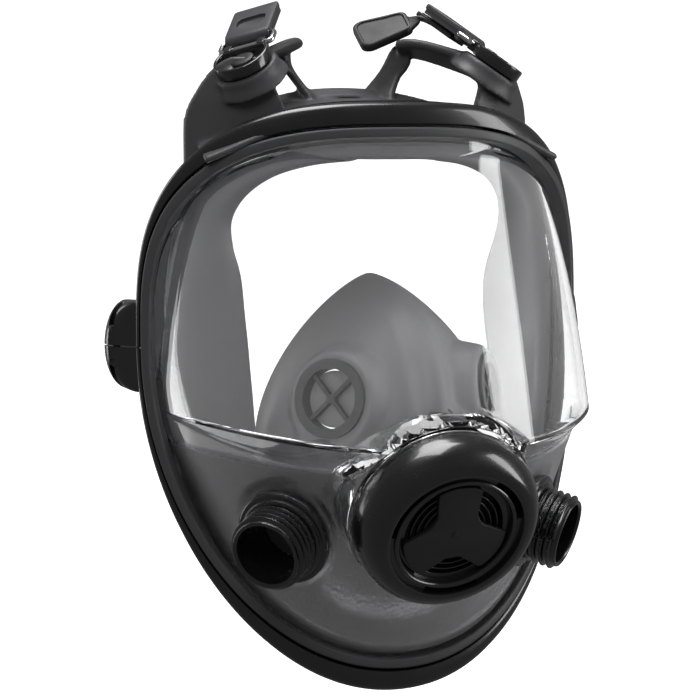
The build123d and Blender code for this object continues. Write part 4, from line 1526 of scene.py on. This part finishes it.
@dataclass(frozen=True)
class Studio:
    """Floor, lights and camera."""

    camera_azimuth: float = -21.0
    camera_elevation: float = 6.0
    distance: float = 900.0
    units_each_mm: float = 2.6
    frame_units: float = 700.0
    sensor: float = 36.0
    target: tuple[float, float, float] = (0.0, -50.0, 0.0)
    slide: float = -5.8
    floor_z: float = -420.0

    def _axes(self) -> tuple[Points, Points]:
        """Right and backward axes of the camera."""
        a = math.radians(self.camera_azimuth)
        e = math.radians(self.camera_elevation)
        back = np.array([math.sin(a) * math.cos(e), -math.cos(a) * math.cos(e), math.sin(e)])
        right = np.array([math.cos(a), math.sin(a), 0.0])
        return right, back

    def _camera(self) -> None:
        """Camera at the viewing angle."""
        right, back = self._axes()
        data = bpy.data.cameras.new("camera")
        data.sensor_width = self.sensor
        data.lens = self.sensor * self.distance * self.units_each_mm / self.frame_units
        data.clip_start = 0.01
        data.clip_end = 20
        made = bpy.data.objects.new("camera", data)
        bpy.context.scene.collection.objects.link(made)
        at = (np.array(self.target) + right * self.slide + back * self.distance) * MM
        made.location = at
        made.rotation_euler = Vector(-back).to_track_quat("-Z", "Y").to_euler()
        bpy.context.scene.camera = made

    def _lamp(self, name: str, at: Sequence[float], size: Sequence[float], power: float,
              mirrored: bool = True, aim: Sequence[float] = (0.0, -0.06, -0.01)) -> None:
        """Soft rectangular lamp that points at the object and may show in glossy surfaces."""
        data = bpy.data.lights.new(name, "AREA")
        data.shape = "RECTANGLE"
        data.size, data.size_y = size
        data.energy = power
        made = bpy.data.objects.new(name, data)
        bpy.context.scene.collection.objects.link(made)
        made.location = at
        made.visible_glossy = mirrored
        made.visible_transmission = mirrored
        way = Vector(aim) - Vector(at)
        made.rotation_euler = way.to_track_quat("-Z", "Y").to_euler()

    def _world(self) -> None:
        """White seen directly and through the lens, greyer light for the rest."""
        world = bpy.data.worlds.new("studio")
        world.use_nodes = True
        tree = world.node_tree
        tree.nodes.clear()
        path = tree.nodes.new("ShaderNodeLightPath")
        either = tree.nodes.new("ShaderNodeMath")
        either.operation = "MAXIMUM"
        tree.links.new(path.outputs["Is Camera Ray"], either.inputs[0])
        tree.links.new(path.outputs["Is Transmission Ray"], either.inputs[1])
        seen = tree.nodes.new("ShaderNodeBackground")
        seen.inputs["Color"].default_value = (1, 1, 1, 1)
        seen.inputs["Strength"].default_value = 1.25
        light = tree.nodes.new("ShaderNodeBackground")
        light.inputs["Color"].default_value = (1, 1, 1, 1)
        light.inputs["Strength"].default_value = 0.16
        mixed = tree.nodes.new("ShaderNodeMixShader")
        tree.links.new(either.outputs[0], mixed.inputs[0])
        tree.links.new(light.outputs[0], mixed.inputs[1])
        tree.links.new(seen.outputs[0], mixed.inputs[2])
        out = tree.nodes.new("ShaderNodeOutputWorld")
        tree.links.new(mixed.outputs[0], out.inputs["Surface"])
        bpy.context.scene.world = world

    def _floor(self) -> None:
        """Plain pale floor well below the object."""
        draft = Draft()
        reach = 6000.0
        corners = [(-reach, -reach, 0), (reach, -reach, 0), (reach, reach, 0), (-reach, reach, 0)]
        draft.add(np.array(corners) + (0, 0, self.floor_z), [(0, 1, 2, 3)])
        floor = draft.make("floor", Finish.DULL)
        shader = Shader("pale_floor")
        inputs = {
            "Base Color": (0.93, 0.93, 0.93, 1), "Roughness": 0.8,
            "Emission Color": (1, 1, 1, 1), "Emission Strength": 1.3,
        }
        floor.data.materials[0] = shader.finish(shader.node("ShaderNodeBsdfPrincipled", {}, inputs)[0])
        floor.visible_glossy = False
        floor.visible_diffuse = False

    def build(self) -> None:
        """Set the studio up."""
        self._world()
        self._floor()
        self._lamp("key", (-0.75, -1.0, 0.95), (0.7, 0.7), 9.0, mirrored=False)
        self._lamp("right_side", (1.0, -0.55, 0.25), (0.35, 1.1), 7.0)
        self._lamp("top", (-0.1, 0.05, 1.2), (0.8, 0.7), 14.0)
        self._lamp("left_rim", (-0.7, 0.95, 0.15), (0.4, 0.9), 2.5)
        bpy.context.scene.view_settings.view_transform = "Standard"
        self._camera()


def dress_cad(frame: dict[str, Any]) -> None:
    """Give every CAD piece that stays visible its procedural finish."""
    finishes = {
        "lens": Finish.CLEAR, "face_seal": Finish.SEAL, "nose_cup": Finish.CUP,
        "frame": Finish.FRAME, "frame_screws": Finish.DULL, "frame_nuts": Finish.DULL,
        "nose_cup_seat": Finish.DULL, "nose_cup_flap": Finish.FLAP, "connector": Finish.VALVE,
        "connector_gasket": Finish.GASKET, "connector_nut": Finish.VALVE,
        "inhalation_flap": Finish.FLAP, "valve_body": Finish.VALVE, "valve_gasket": Finish.GASKET,
        "valve_nut": Finish.VALVE, "exhalation_flap": Finish.FLAP, "valve_cap": Finish.VALVE,
        "cap_plate": Finish.DULL, "buckle_base": Finish.VALVE, "buckle_stud": Finish.STEEL,
        "buckle_loop": Finish.CHROME, "buckle_lever": Finish.LEVER, "buckle_pin": Finish.STEEL,
        "strap": Finish.STRAP,
    }
    for name, node in frame["nodes"].items():
        best = max((key for key in finishes if name.startswith(key)), key=len)
        node.data.materials.clear()
        node.data.materials.append(finishes[best].material())
        smooth(node, 35)


def main() -> None:
    """Build the mask's looks in order."""
    logging.basicConfig(level=logging.INFO, format="%(message)s")
    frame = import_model()
    dress_cad(frame)
    Frame().build()
    Lens().build()
    SEAL.build()
    Ears().build()
    NoseCup().build()
    Cap().build()
    for side in CONNECTORS:
        Connector(side).build()
    for name in ("upper_left", "upper_right", "lower_left", "lower_right"):
        Buckle(name).build()
    Studio().build()


if __name__ == "__main__":
    main()
